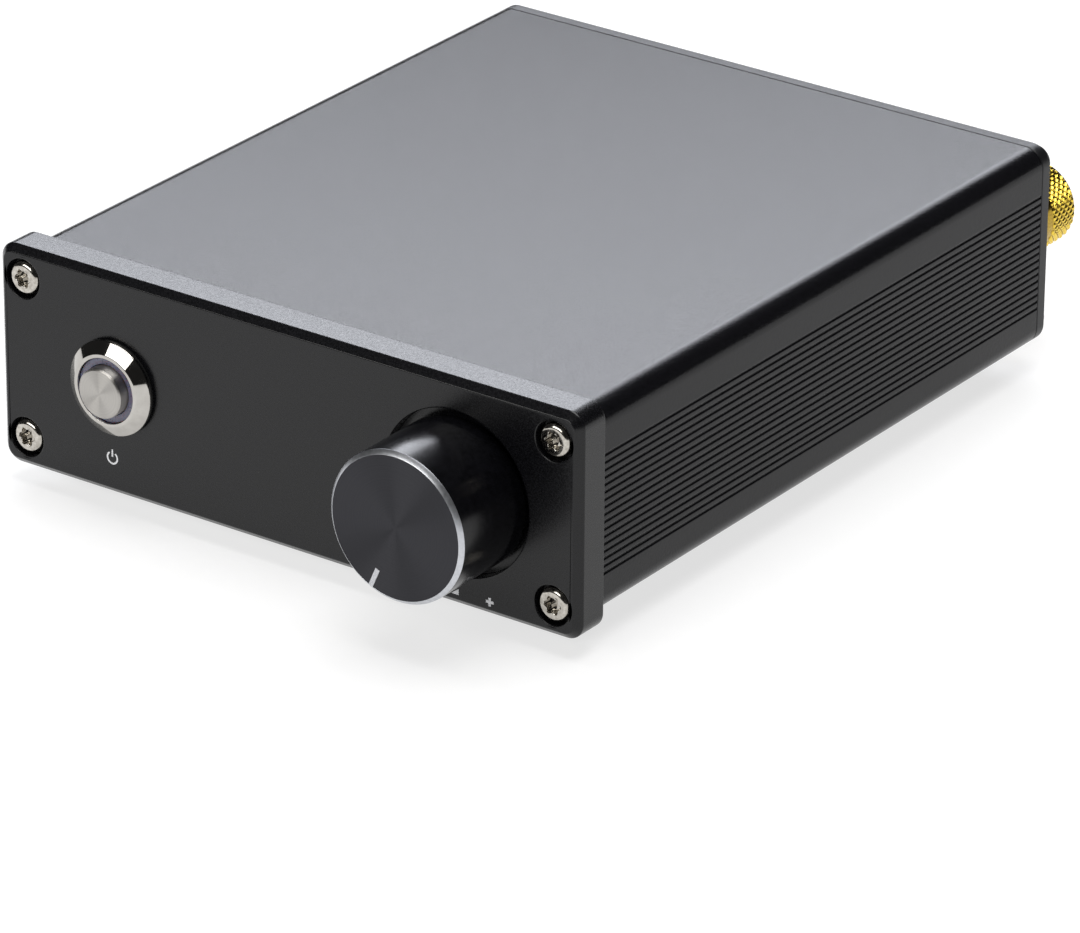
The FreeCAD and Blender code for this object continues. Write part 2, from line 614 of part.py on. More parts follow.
def switch_base():
    """Moulded contact block that closes the back of the barrel."""
    socket_r = SWITCH_BARREL_R - SWITCH_WALL - RUNNING_PLAY
    return rod(socket_r, SWITCH_BASE_Y, SWITCH_BASE_BACK_Y, SWITCH_X)


def switch_terminals():
    blades = [block(x - TERMINAL_WIDTH / 2, x + TERMINAL_WIDTH / 2, SWITCH_BASE_BACK_Y, TERMINAL_BACK_Y,
                    MID_Z - TERMINAL_THICKNESS / 2, MID_Z + TERMINAL_THICKNESS / 2)
              for x in terminal_places()]
    return Part.makeCompound(blades)


def switch_wire(x):
    """Wire that runs back from a terminal, bends down and enters the plug."""
    start = vec(x, TERMINAL_BACK_Y, MID_Z)
    bend = vec(x, WIRE_DOWN_Y - WIRE_BEND_R, MID_Z)
    middle = vec(x, bend.y + WIRE_BEND_R * math.sin(math.radians(45)),
                 MID_Z - WIRE_BEND_R * (1 - math.cos(math.radians(45))))
    down = vec(x, WIRE_DOWN_Y, MID_Z - WIRE_BEND_R)
    end = vec(x, WIRE_DOWN_Y, PLUG_TOP_Z)
    runs = [Part.LineSegment(start, bend).toShape(), Part.Arc(bend, middle, down).toShape(),
            Part.LineSegment(down, end).toShape()]
    section = Part.Wire(Part.makeCircle(WIRE_R, start, vec(0, 1, 0)))
    return Part.Wire(runs).makePipeShell([section], True, False)


def switch_wires():
    return Part.makeCompound([switch_wire(x) for x in terminal_places()])


def header_span():
    places = terminal_places()
    return places[0] - PLUG_MARGIN, places[-1] + PLUG_MARGIN


def wire_plug():
    """White plug housing on the end of the switch's wires."""
    x0, x1 = header_span()
    y0 = WIRE_DOWN_Y - PLUG_DEPTH / 2
    return block(x0, x1, y0, y0 + PLUG_DEPTH, BOARD_TOP_Z + HEADER_LIP, PLUG_TOP_Z)


def board_header():
    """Shrouded header on the board that the plug pushes into."""
    x0, x1 = header_span()
    y0 = WIRE_DOWN_Y - PLUG_DEPTH / 2
    shell = block(x0 - HEADER_LIP, x1 + HEADER_LIP, y0 - HEADER_LIP, y0 + PLUG_DEPTH + HEADER_LIP,
                  BOARD_TOP_Z, BOARD_TOP_Z + HEADER_HEIGHT)
    room = block(x0 - RUNNING_PLAY, x1 + RUNNING_PLAY, y0 - RUNNING_PLAY, y0 + PLUG_DEPTH + RUNNING_PLAY,
                 BOARD_TOP_Z + HEADER_LIP, PLUG_TOP_Z)
    return shell.cut(room)


# Circuit board

def main_board():
    """Board in the sleeve's side slots, notched round the switch and drilled for the volume control."""
    board = block(-BOARD_HALF_WIDTH, BOARD_HALF_WIDTH, BOARD_FRONT_Y, BOARD_BACK_Y,
                  BOARD_UNDER_Z, BOARD_TOP_Z)
    notch_half = SWITCH_NUT_FLATS / math.sqrt(3) + BOARD_NOTCH_GAP
    board = board.cut(block(SWITCH_X - notch_half, SWITCH_X + notch_half, BOARD_FRONT_Y - CUT_PAST,
                            SWITCH_BASE_BACK_Y + BOARD_NOTCH_GAP,
                            BOARD_UNDER_Z - CUT_PAST, BOARD_TOP_Z + CUT_PAST))
    for x, y in pot_pin_places():
        hole = Part.makeCylinder(POT_PIN_R + RUNNING_PLAY, BOARD_THICKNESS + 2 * CUT_PAST,
                                 vec(x, y, BOARD_UNDER_Z - CUT_PAST))
        board = board.cut(hole)
    return board


def capacitor_can(radius, height, x, y):
    """Upright aluminium can capacitor with a crimped groove near its foot."""
    crimp_z = BOARD_TOP_Z + 2 * CAN_BEVEL
    top_z = BOARD_TOP_Z + height
    section = [(0, BOARD_TOP_Z), (radius, BOARD_TOP_Z), (radius, crimp_z),
               (radius - CAN_BEVEL, crimp_z + CAN_BEVEL), (radius, crimp_z + 2 * CAN_BEVEL),
               (radius, top_z - CAN_BEVEL), (radius - CAN_BEVEL, top_z), (0, top_z)]
    corners = [vec(r, 0, z) for r, z in section]
    can = Part.Face(Part.makePolygon(corners + corners[:1])).revolve(vec(0, 0, 0), vec(0, 0, 1), 360)
    can.translate(vec(x, y, 0))
    return can


def supply_capacitors():
    back_y = BOARD_BACK_Y - CAN_BACK_GAP
    return Part.makeCompound([capacitor_can(CAN_R, CAN_HEIGHT, CAN_X, back_y - CAN_PITCH * index)
                              for index in range(CAN_COUNT)])


def signal_capacitors():
    places = [(side * SMALL_CAN_SPREAD / 2, BOARD_MID_Y + end * SMALL_CAN_PITCH)
              for side in (-1, 1) for end in (-1, 1)]
    return Part.makeCompound([capacitor_can(SMALL_CAN_R, SMALL_CAN_HEIGHT, x, y) for x, y in places])


def film_capacitors():
    """Small upright box capacitors in a row in front of each amplifier chip."""
    boxes = []
    front_y = BOARD_MID_Y - SOCKET_LENGTH / 2 - 2 * FILM_CAP_LENGTH
    for side in (-1, 1):
        for index in range(FILM_CAP_COUNT):
            x = side * (CHIP_SPREAD + SOCKET_WIDTH / 2) - side * FILM_CAP_PITCH * index / 2
            y = front_y - FILM_CAP_PITCH * index
            box = block(x - FILM_CAP_LENGTH / 2, x + FILM_CAP_LENGTH / 2, y - FILM_CAP_WIDTH / 2,
                        y + FILM_CAP_WIDTH / 2, BOARD_TOP_Z, BOARD_TOP_Z + FILM_CAP_HEIGHT)
            boxes.append(box.makeChamfer(FILM_CAP_EDGE, edges_along(box, vec(0, 0, 1))))
    return Part.makeCompound(boxes)


def middle_block(x, width, length, z0, z1):
    """Block over the middle of the board's length, centred on x."""
    return block(x - width / 2, x + width / 2, BOARD_MID_Y - length / 2, BOARD_MID_Y + length / 2, z0, z1)


def chip_socket(x):
    """Open frame that one amplifier chip plugs into."""
    top_z = BOARD_TOP_Z + SOCKET_HEIGHT
    base = middle_block(x, SOCKET_WIDTH, SOCKET_LENGTH, BOARD_TOP_Z, top_z)
    slot_length = SOCKET_LENGTH - 2 * SOCKET_BAR
    slot = middle_block(x, SOCKET_SLOT_WIDTH, slot_length, BOARD_TOP_Z - CUT_PAST, top_z + CUT_PAST)
    return base.cut(slot)


def chip_sockets():
    return Part.makeCompound([chip_socket(side * CHIP_SPREAD) for side in (-1, 1)])


def amplifier_chip(x):
    """Eight-pin chip with a half-round notch at one end."""
    z0 = BOARD_TOP_Z + SOCKET_HEIGHT
    body = middle_block(x, CHIP_WIDTH, CHIP_LENGTH, z0, z0 + CHIP_HEIGHT)
    notch_at = vec(x, BOARD_MID_Y + CHIP_LENGTH / 2, z0 + CHIP_HEIGHT / 2)
    return body.cut(Part.makeCylinder(CHIP_NOTCH_R, CHIP_HEIGHT, notch_at))


def amplifier_chips():
    return Part.makeCompound([amplifier_chip(side * CHIP_SPREAD) for side in (-1, 1)])


def resistor(x, y):
    """Dog-bone resistor body lying on the board along X."""
    half = RESISTOR_LENGTH / 2
    step = half - RESISTOR_END_LENGTH
    neck = RESISTOR_END_LENGTH / 4
    section = [(0, -half), (RESISTOR_END_R, -half), (RESISTOR_END_R, -step), (RESISTOR_R, neck - step),
               (RESISTOR_R, step - neck), (RESISTOR_END_R, step), (RESISTOR_END_R, half), (0, half)]
    corners = [vec(along, r, 0) for r, along in section]
    body = Part.Face(Part.makePolygon(corners + corners[:1])).revolve(vec(0, 0, 0), vec(1, 0, 0), 360)
    body.translate(vec(x, y, BOARD_TOP_Z + RESISTOR_END_R))
    return body


def resistors():
    first_y = BOARD_MID_Y + SOCKET_LENGTH
    return Part.makeCompound([resistor(side * RESISTOR_SPREAD / 2, first_y + RESISTOR_PITCH * index)
                              for side in (-1, 1) for index in range(RESISTOR_COUNT // 2)])


def regulator():
    """Upright voltage regulator whose metal tab stands against its heat sink."""
    y0 = BOARD_MID_Y
    x0 = REGULATOR_X - REGULATOR_WIDTH / 2
    x1 = REGULATOR_X + REGULATOR_WIDTH / 2
    body = block(x0, x1, y0, y0 + REGULATOR_THICKNESS, BOARD_TOP_Z, BOARD_TOP_Z + REGULATOR_HEIGHT)
    top_z = BOARD_TOP_Z + REGULATOR_HEIGHT + TAB_RISE
    tab = block(x0, x1, y0, y0 + TAB_THICKNESS, BOARD_TOP_Z, top_z)
    return body.fuse(tab).removeSplitter()


def heat_sink():
    """Small extruded sink with upright fins, in front of the regulator."""
    y1 = BOARD_MID_Y
    x0 = REGULATOR_X - SINK_WIDTH / 2
    base = block(x0, x0 + SINK_WIDTH, y1 - SINK_BASE, y1, BOARD_TOP_Z, BOARD_TOP_Z + SINK_HEIGHT)
    step = (SINK_WIDTH - SINK_FIN) / (SINK_FIN_COUNT - 1)
    for index in range(SINK_FIN_COUNT):
        fin_x = x0 + step * index
        base = base.fuse(block(fin_x, fin_x + SINK_FIN, y1 - SINK_DEPTH, y1 - SINK_BASE,
                               BOARD_TOP_Z, BOARD_TOP_Z + SINK_HEIGHT))
    return base.removeSplitter()


# Sockets and terminal in the rear panel

def phono_block(x):
    """Moulded housing behind the rear panel that holds one phono socket on the board."""
    half = PHONO_BLOCK_WIDTH / 2
    y0 = CASE_BACK_Y - PHONO_BLOCK_DEPTH
    body = block(x - half, x + half, y0, CASE_BACK_Y, BOARD_TOP_Z, MID_Z + PHONO_BLOCK_TOP)
    body = body.makeChamfer(PHONO_BLOCK_EDGE, edges_along(body, vec(0, 1, 0)))
    sleeve_y = BACK_Y - PHONO_SLEEVE_SINK
    body = body.cut(rod(PHONO_SLEEVE_R + RUNNING_PLAY, sleeve_y, CASE_BACK_Y + CUT_PAST, x))
    contact_y = sleeve_y - PHONO_CONTACT_LENGTH
    return body.cut(rod(PHONO_CONTACT_R + RUNNING_PLAY, contact_y, CASE_BACK_Y, x))


def phono_blocks():
    return Part.makeCompound([phono_block(x) for x in phono_places()])


def phono_sleeve(x):
    """Plated outer contact with a collar against the panel and a bevelled mouth."""
    y0 = BACK_Y - PHONO_SLEEVE_SINK
    y1 = BACK_Y + PHONO_SLEEVE_REACH
    collar_y = BACK_Y + PHONO_FLANGE_THICKNESS
    return turned([(PHONO_INSERT_R, y0), (PHONO_SLEEVE_R, y0), (PHONO_SLEEVE_R, BACK_Y),
                   (PHONO_FLANGE_R, BACK_Y), (PHONO_FLANGE_R, collar_y), (PHONO_SLEEVE_R, collar_y),
                   (PHONO_SLEEVE_R, y1 - PHONO_SLEEVE_BEVEL), (PHONO_SLEEVE_R - PHONO_SLEEVE_BEVEL, y1),
                   (PHONO_INSERT_R, y1)], x)


def phono_sleeves():
    return Part.makeCompound([phono_sleeve(x) for x in phono_places()])


def phono_insert(x):
    """Insulator inside the sleeve, bored for the plug's pin."""
    y0 = BACK_Y - PHONO_SLEEVE_SINK
    y1 = BACK_Y + PHONO_SLEEVE_REACH - PHONO_INSERT_SETBACK
    return ring(PHONO_INSERT_R - RUNNING_PLAY, PHONO_BORE_R, y0, y1, x)


def phono_inserts_white():
    return Part.makeCompound([phono_insert(x) for x in phono_places()[0::2]])


def phono_inserts_red():
    return Part.makeCompound([phono_insert(x) for x in phono_places()[1::2]])


def phono_contacts():
    """Spring tubes at the bottom of each bore that grip the plug's pin."""
    y1 = BACK_Y - PHONO_SLEEVE_SINK
    y0 = y1 - PHONO_CONTACT_LENGTH
    return Part.makeCompound([ring(PHONO_CONTACT_R, PHONO_BORE_R, y0, y1, x) for x in phono_places()])


def supply_socket():
    """Moulded barrel socket, round where it passes through the rear panel."""
    half = SUPPLY_BLOCK_WIDTH / 2
    y0 = CASE_BACK_Y - SUPPLY_BLOCK_DEPTH
    mouth_y = BACK_Y + SUPPLY_NOSE_REACH
    body = block(SUPPLY_X - half, SUPPLY_X + half, y0, CASE_BACK_Y, BOARD_TOP_Z, MID_Z + SUPPLY_BLOCK_TOP)
    body = body.makeChamfer(SUPPLY_BLOCK_EDGE, edges_along(body, vec(0, 1, 0)))
    body = body.fuse(rod(SUPPLY_NOSE_R, CASE_BACK_Y, mouth_y, SUPPLY_X))
    floor_y = mouth_y - SUPPLY_BORE_DEPTH
    body = body.cut(rod(SUPPLY_BORE_R, floor_y, mouth_y + CUT_PAST, SUPPLY_X))
    return body.cut(rod(SUPPLY_PIN_ROOT_R + RUNNING_PLAY, floor_y - SUPPLY_PIN_ROOT, mouth_y, SUPPLY_X))


def supply_pin():
    """Centre pin of the barrel socket, thicker at its root and bevelled at its tip."""
    tip_y = BACK_Y + SUPPLY_NOSE_REACH - SUPPLY_PIN_SETBACK
    floor_y = BACK_Y + SUPPLY_NOSE_REACH - SUPPLY_BORE_DEPTH
    root_y = floor_y - SUPPLY_PIN_ROOT
    tip_r = SUPPLY_PIN_R / 2
    return turned([(0, root_y), (SUPPLY_PIN_ROOT_R, root_y), (SUPPLY_PIN_ROOT_R, floor_y),
                   (SUPPLY_PIN_R, floor_y), (SUPPLY_PIN_R, tip_y - tip_r), (tip_r, tip_y), (0, tip_y)],
                  SUPPLY_X)


def earth_stud():
    """Stud through the rear panel with a round flange outside."""
    return turned([(0, CASE_BACK_Y - EARTH_STUD_TAIL), (EARTH_STUD_R, CASE_BACK_Y - EARTH_STUD_TAIL),
                   (EARTH_STUD_R, BACK_Y), (EARTH_FLANGE_R, BACK_Y),
                   (EARTH_FLANGE_R, BACK_Y + EARTH_FLANGE_THICKNESS),
                   (EARTH_STUD_R, BACK_Y + EARTH_FLANGE_THICKNESS),
                   (EARTH_STUD_R, BACK_Y + EARTH_STUD_REACH), (0, BACK_Y + EARTH_STUD_REACH)], EARTH_X)


def earth_clamp_washer():
    """Smooth washer that the thumb nut presses on the wire."""
    y0 = BACK_Y + EARTH_FLANGE_THICKNESS
    return ring(EARTH_WASHER_R, EARTH_STUD_R + RUNNING_PLAY, y0, EARTH_NUT_Y, EARTH_X)


def fluted_rod(radius, depth, count, y0, y1, x):
    """Rod along Y whose side is cut into pointed flutes all round."""
    step = math.pi / count
    corners = []
    for index in range(2 * count):
        reach = radius - depth * (index % 2)
        corners.append(vec(x + reach * math.cos(step * index), y0, MID_Z + reach * math.sin(step * index)))
    return Part.Face(Part.makePolygon(corners + corners[:1])).extrude(vec(0, y1 - y0, 0))


def earth_thumb_nut():
    """Closed round nut: a smooth shoulder, then a fluted head with bevelled ends."""
    rim_r = EARTH_NUT_R - EARTH_NUT_BEVEL
    head = fluted_rod(EARTH_NUT_R, EARTH_FLUTE_DEPTH, EARTH_FLUTE_COUNT, EARTH_HEAD_Y, EARTH_NUT_BACK_Y,
                      EARTH_X)
    crown = turned([(0, EARTH_HEAD_Y), (EARTH_SHOULDER_R, EARTH_HEAD_Y),
                    (EARTH_NUT_R, EARTH_HEAD_Y + EARTH_NUT_R - EARTH_SHOULDER_R),
                    (EARTH_NUT_R, EARTH_NUT_BACK_Y - EARTH_NUT_BEVEL), (rim_r, EARTH_NUT_BACK_Y),
                    (0, EARTH_NUT_BACK_Y)], EARTH_X)
    shoulder = turned([(0, EARTH_NUT_Y), (rim_r, EARTH_NUT_Y),
                       (EARTH_SHOULDER_R, EARTH_NUT_Y + EARTH_SHOULDER_R - rim_r),
                       (EARTH_SHOULDER_R, EARTH_HEAD_Y), (0, EARTH_HEAD_Y)], EARTH_X)
    body = head.common(crown).fuse(shoulder)
    bore = rod(EARTH_STUD_R + RUNNING_PLAY, EARTH_NUT_Y - CUT_PAST, EARTH_NUT_BACK_Y - EARTH_NUT_CROWN,
               EARTH_X)
    return body.cut(bore)


def earth_tag():
    """Ring tag under the back nut with a tongue for its wire."""
    y1 = CASE_BACK_Y
    y0 = y1 - EARTH_TAG_THICKNESS
    tongue = block(EARTH_X - EARTH_TAG_WIDTH / 2, EARTH_X + EARTH_TAG_WIDTH / 2, y0, y1,
                   MID_Z + EARTH_STUD_R, MID_Z + EARTH_TAG_TONGUE)
    tag = rod(EARTH_TAG_R, y0, y1, EARTH_X).fuse(tongue).removeSplitter()
    return drill(tag, EARTH_STUD_R + RUNNING_PLAY, y0, y1, EARTH_X)


def earth_back_nut():
    y1 = CASE_BACK_Y - EARTH_TAG_THICKNESS
    y0 = y1 - EARTH_BACK_NUT_THICKNESS
    return hex_nut(EARTH_BACK_NUT_FLATS, EARTH_STUD_R + RUNNING_PLAY, y0, y1, EARTH_X)


PIECES = [
    front_panel, enclosure_body, rear_panel, front_screws, rear_screws, rubber_feet,
    volume_knob, knob_set_screw, pot_shaft, pot_housing, pot_washer, pot_nut, pot_pins,
    switch_body, switch_light_ring, power_button_cap, switch_seal, switch_nut, switch_base,
    switch_terminals, switch_wires, wire_plug, board_header, main_board, supply_capacitors,
    signal_capacitors, film_capacitors, chip_sockets, amplifier_chips, resistors, regulator,
    heat_sink, phono_blocks, phono_sleeves, phono_inserts_white, phono_inserts_red,
    phono_contacts, supply_socket, supply_pin, earth_stud, earth_clamp_washer, earth_thumb_nut,
    earth_tag, earth_back_nut,
]

os.makedirs("parts", exist_ok=True)
for piece in PIECES:
    shape = piece()
    shape.exportStep("parts/" + piece.__name__ + ".step")
    print(piece.__name__, len(shape.Solids), "solid", round(shape.Volume, 2), "mm3, valid", shape.isValid())
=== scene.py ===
import logging
import math
from dataclasses import dataclass, field
from enum import Enum
from typing import Any, Sequence

import bmesh
import bpy
import numpy as np
from mathutils import Matrix, Vector
from mathutils.geometry import tessellate_polygon


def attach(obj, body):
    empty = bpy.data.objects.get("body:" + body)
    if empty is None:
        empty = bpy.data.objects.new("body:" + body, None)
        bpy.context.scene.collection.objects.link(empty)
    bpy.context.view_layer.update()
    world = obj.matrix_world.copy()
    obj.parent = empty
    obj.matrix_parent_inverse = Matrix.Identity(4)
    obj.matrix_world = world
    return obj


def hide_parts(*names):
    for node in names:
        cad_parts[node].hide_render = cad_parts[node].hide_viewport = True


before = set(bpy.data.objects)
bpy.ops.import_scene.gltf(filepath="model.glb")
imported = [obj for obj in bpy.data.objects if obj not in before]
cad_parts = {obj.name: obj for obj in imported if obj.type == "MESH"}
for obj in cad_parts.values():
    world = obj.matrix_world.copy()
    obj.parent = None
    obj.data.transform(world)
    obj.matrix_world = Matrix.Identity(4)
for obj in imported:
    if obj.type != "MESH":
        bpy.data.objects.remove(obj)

# Looks of a small phono preamplifier in a black extruded case. Lengths are in millimetres until a mesh
# is made, +X is to the right seen from the front, +Y runs to the back and +Z is up.

Array = np.ndarray
Triple = tuple[float, float, float]
Spot = tuple[float, float]
Tree = bpy.types.NodeTree
Node = bpy.types.Node
Socket = bpy.types.NodeSocket
MM = 0.001
# The ease of a corner that stays sharp, in millimetres, what counts as nought, and how near two points
# of a finished mesh lie when they are made one, in metres.
SHARP, TINY, WELD = 0.001, 1e-6, 1e-8
# Segments round a turned piece: more for the knob and the switch, which come nearest to the eye.
NEAR, MIDDLE, FAR = 192, 144, 72

log = logging.getLogger("preamplifier")


class Axis(Enum):
    """The line that a turned shape goes round."""

    DEPTH = "along Y"
    HEIGHT = "along Z"


@dataclass(frozen=True)
class Outline:
    """Rectangle of a panel with quarter circles at its corners."""

    width: float
    height: float
    radius: float

    def inset(self, amount: float) -> Array:
        """The outline about (0, 0), moved inwards by an amount."""
        x, z, radius = self.width / 2 - amount, self.height / 2 - amount, self.radius - amount
        return eased([(x, -z, radius), (x, z, radius), (-x, z, radius), (-x, -z, radius)], 12, closed=True)


@dataclass(frozen=True)
class Layout:
    """Places that several sub-assemblies share, in millimetres."""

    face_y: float = -58.3
    case_front_y: float = -52.7
    case_back_y: float = 55.7
    back_y: float = 57.7
    middle_z: float = 19.1
    case: Outline = Outline(95.0, 30.2, 3.0)
    screw_x: float = 44.2
    screw_dz: float = 11.8
    knob_x: float = 28.5
    switch_x: float = -28.6
    earth_x: float = 37.7
    phono_x: tuple[float, ...] = (22.35, 7.85, -6.65, -21.15)
    sink_depth: float = 1.9

    def screws(self) -> list[Spot]:
        """Centres (x, z) of the four screws that hold a panel."""
        return [(sx * self.screw_x, self.middle_z + sz * self.screw_dz) for sx in (-1, 1) for sz in (-1, 1)]


AT = Layout()


# Shapes


def eased(corners: Sequence[Triple], steps: int = 6, closed: bool = False) -> Array:
    """Round each corner of a line with an arc that touches both sides at its ease distance.

    The circle's centre lies on the corner's bisector at ease / cos(half the corner), and the arc's point t
    is the great-circle blend of the two touching points about that centre.

    Args:
        corners: Rows of (first coordinate, second coordinate, ease distance).
        steps: Pieces in each arc.
        closed: Whether the line closes on itself. The ends of an open line stay sharp.

    Returns:
        Points of the eased line, one row of two coordinates each.
    """
    rows = np.array(corners, float)
    spots, ease = rows[:, :2], np.maximum(rows[:, 2:], SHARP)
    back = np.roll(spots, 1, 0) - spots
    ahead = np.roll(spots, -1, 0) - spots
    back /= np.linalg.norm(back, axis=1, keepdims=True)
    ahead /= np.linalg.norm(ahead, axis=1, keepdims=True)
    half = np.arccos(np.clip((back * ahead).sum(1, keepdims=True), -1, 1)) / 2
    middle = back + ahead
    middle /= np.maximum(np.linalg.norm(middle, axis=1, keepdims=True), TINY)
    centre = spots + middle * ease / np.maximum(np.cos(half), TINY)
    turn = np.maximum(math.pi - 2 * half, TINY)[:, None, :]
    t = np.linspace(0, 1, steps + 1)[None, :, None]
    start = (spots + back * ease - centre)[:, None, :]
    end = (spots + ahead * ease - centre)[:, None, :]
    arcs = centre[:, None, :] + (np.sin((1 - t) * turn) * start + np.sin(t * turn) * end) / np.sin(turn)
    if closed:
        return arcs.reshape(-1, 2)
    return np.concatenate([spots[:1], arcs[1:-1].reshape(-1, 2), spots[-1:]])


def arc(radius: float, start: float, end: float, centre: Spot = (0.0, 0.0), steps: int = 24) -> Array:
    """Points of an arc: the centre plus radius times (cos a, sin a), a from start to end in degrees."""
    angle = np.radians(np.linspace(start, end, steps))
    return np.stack([centre[0] + radius * np.cos(angle), centre[1] + radius * np.sin(angle)], 1)


def around(profile: Array, centre: Spot, segments: int, axis: Axis, lobes: Array | None = None) -> Array:
    """Grid of a profile turned about an axis.

    Row i and column j hold the point at angle a = 2 pi j / segments and at radius r_i + lobe_i cos 6a.

    Args:
        profile: Rows of (radius, place along the axis).
        centre: Where the axis stands, (x, z) for DEPTH and (x, y) for HEIGHT.
        segments: Columns round the axis.
        axis: The line that the profile goes round.
        lobes: How far six lobes push each row in and out, or None for a round shape.

    Returns:
        Points, rows by columns by three.
    """
    angle = np.linspace(0, 2 * math.pi, segments, endpoint=False)
    wave = np.zeros(len(profile)) if lobes is None else lobes
    radius = profile[:, :1] + wave[:, None] * np.cos(6 * angle)
    first = centre[0] + radius * np.cos(angle)
    second = centre[1] + radius * np.sin(angle)
    along = np.broadcast_to(profile[:, 1:], first.shape)
    order = (first, along, second) if axis is Axis.DEPTH else (first, second, along)
    return np.stack(order, -1)


def lifted(loop: Array, y: float) -> Array:
    """A flat (x, z) loop about (0, 0) as points in the plane y, moved up to the case's middle."""
    return np.stack([loop[:, 0], np.full(len(loop), y), loop[:, 1] + AT.middle_z], 1)


@dataclass
class Shell:
    """Closed surfaces gathered for one mesh, as points and faces."""

    points: list[Array] = field(default_factory=list)
    faces: list[Sequence[int]] = field(default_factory=list)

    def add_points(self, points: Array) -> Array:
        """Take points in and return their indices."""
        start = sum(map(len, self.points))
        self.points.append(points.reshape(-1, 3))
        return start + np.arange(len(self.points[-1]))

    def add_grid(self, grid: Array, close_rows: bool = False) -> Array:
        """Add the quads between neighbouring rows of a grid whose columns close on themselves.

        Args:
            grid: Points, rows by columns by three.
            close_rows: Whether the last row joins the first.

        Returns:
            Indices of the points, rows by columns.
        """
        index = self.add_points(grid).reshape(grid.shape[:2])
        low = index if close_rows else index[:-1]
        high = np.roll(index, -1, 0) if close_rows else index[1:]
        quads = np.stack([low, np.roll(low, -1, 1), np.roll(high, -1, 1), high], -1)
        self.faces += quads.reshape(-1, 4).tolist()
        return index

    def add_cap(self, ring: Array, pole: Array) -> None:
        """Close a ring of indices with triangles to one new point."""
        tip = np.full(len(ring), self.add_points(pole)[0])
        self.faces += np.stack([ring, np.roll(ring, -1), tip], 1).tolist()

    def add_solid(self, grid: Array) -> None:
        """Add a grid whose first and last rows lie on the axis."""
        index = self.add_grid(grid[1:-1])
        self.add_cap(index[0], grid[0, :1])
        self.add_cap(index[-1], grid[-1, :1])

    def add_flat(self, rings: Sequence[Array]) -> None:
        """Fill the flat face between an outer ring of indices and the rings inside it."""
        spots = np.concatenate(self.points)
        loops = [list(map(Vector, spots[ring])) for ring in rings]
        names = np.concatenate(rings)
        self.faces += names[np.array(tessellate_polygon(loops))].tolist()

    @classmethod
    def turned(cls, profile: Array, spots: Sequence[Spot], segments: int = 96, axis: Axis = Axis.DEPTH,
               lobes: Array | None = None) -> "Shell":
        """Turn a profile at each spot: solid where it starts and ends on the axis, else a ring.

        Args:
            profile: Rows of (radius, place along the axis).
            spots: Where the axes stand.
            segments: Columns round an axis.
            axis: The line that the profile goes round.
            lobes: As for around.

        Returns:
            A shell with all the turned shapes.
        """
        shell = cls()
        for spot in spots:
            grid = around(profile, spot, segments, axis, lobes)
            if profile[0, 0] < TINY:
                shell.add_solid(grid)
            else:
                shell.add_grid(grid, close_rows=True)
        return shell

    def add_plate(self, outline: Outline, rows: Array, holes: Sequence[tuple[Spot, Array]]) -> None:
        """Add a plate from its rim's rows of (inset, y) and its holes' rows of (radius, y), front to back."""
        rim = self.add_grid(np.stack([lifted(outline.inset(inset), y) for inset, y in rows]))
        walls = [self.add_grid(around(wall, spot, FAR, Axis.DEPTH)) for spot, wall in holes]
        self.add_flat([rim[0]] + [wall[0] for wall in walls])
        self.add_flat([rim[-1]] + [wall[-1] for wall in walls])

    def add_prism(self, outline: Array, y0: float, y1: float) -> None:
        """Add a flat (x, z) outline carried straight back from y0 to y1 and closed at both ends."""
        flat = np.stack([outline[:, 0], np.full(len(outline), y0), outline[:, 1]], 1)
        index = self.add_grid(np.stack([flat, flat + [0, y1 - y0, 0]]))
        self.add_flat([index[0]])
        self.add_flat([index[1]])


# Finishes


def linear(code: str) -> tuple[float, float, float, float]:
    """Linear colour of an sRGB hex code such as #8f9095."""
    part = np.array([int(code[i : i + 2], 16) for i in (1, 3, 5)]) / 255
    level = np.where(part <= 0.04045, part / 12.92, ((part + 0.055) / 1.055) ** 2.4)
    return (*level.tolist(), 1.0)


Feed = Socket | float | Sequence[float]
# Noise keeps near 0.5, so its colours and its gloss are spread over the middle of its range.
COLOUR_SPAN = (0.35, 0.65)
GLOSS_SPAN = (0.3, 0.7)


def add_node(tree: Tree, kind: str, settings: dict[str, Any] | None = None,
             feeds: dict[str | int, Feed] | None = None) -> Node:
    """Add one node, set its properties, and link or set its inputs.

    Args:
        tree: The material's node tree.
        kind: The node's type name without "ShaderNode".
        settings: Properties by name.
        feeds: Inputs by name or number. A socket is linked and any other value is set.

    Returns:
        The new node.
    """
    node = tree.nodes.new("ShaderNode" + kind)
    for name, value in (settings or {}).items():
        setattr(node, name, value)
    for name, value in (feeds or {}).items():
        if isinstance(value, Socket):
            tree.links.new(value, node.inputs[name])
        else:
            node.inputs[name].default_value = value
    return node


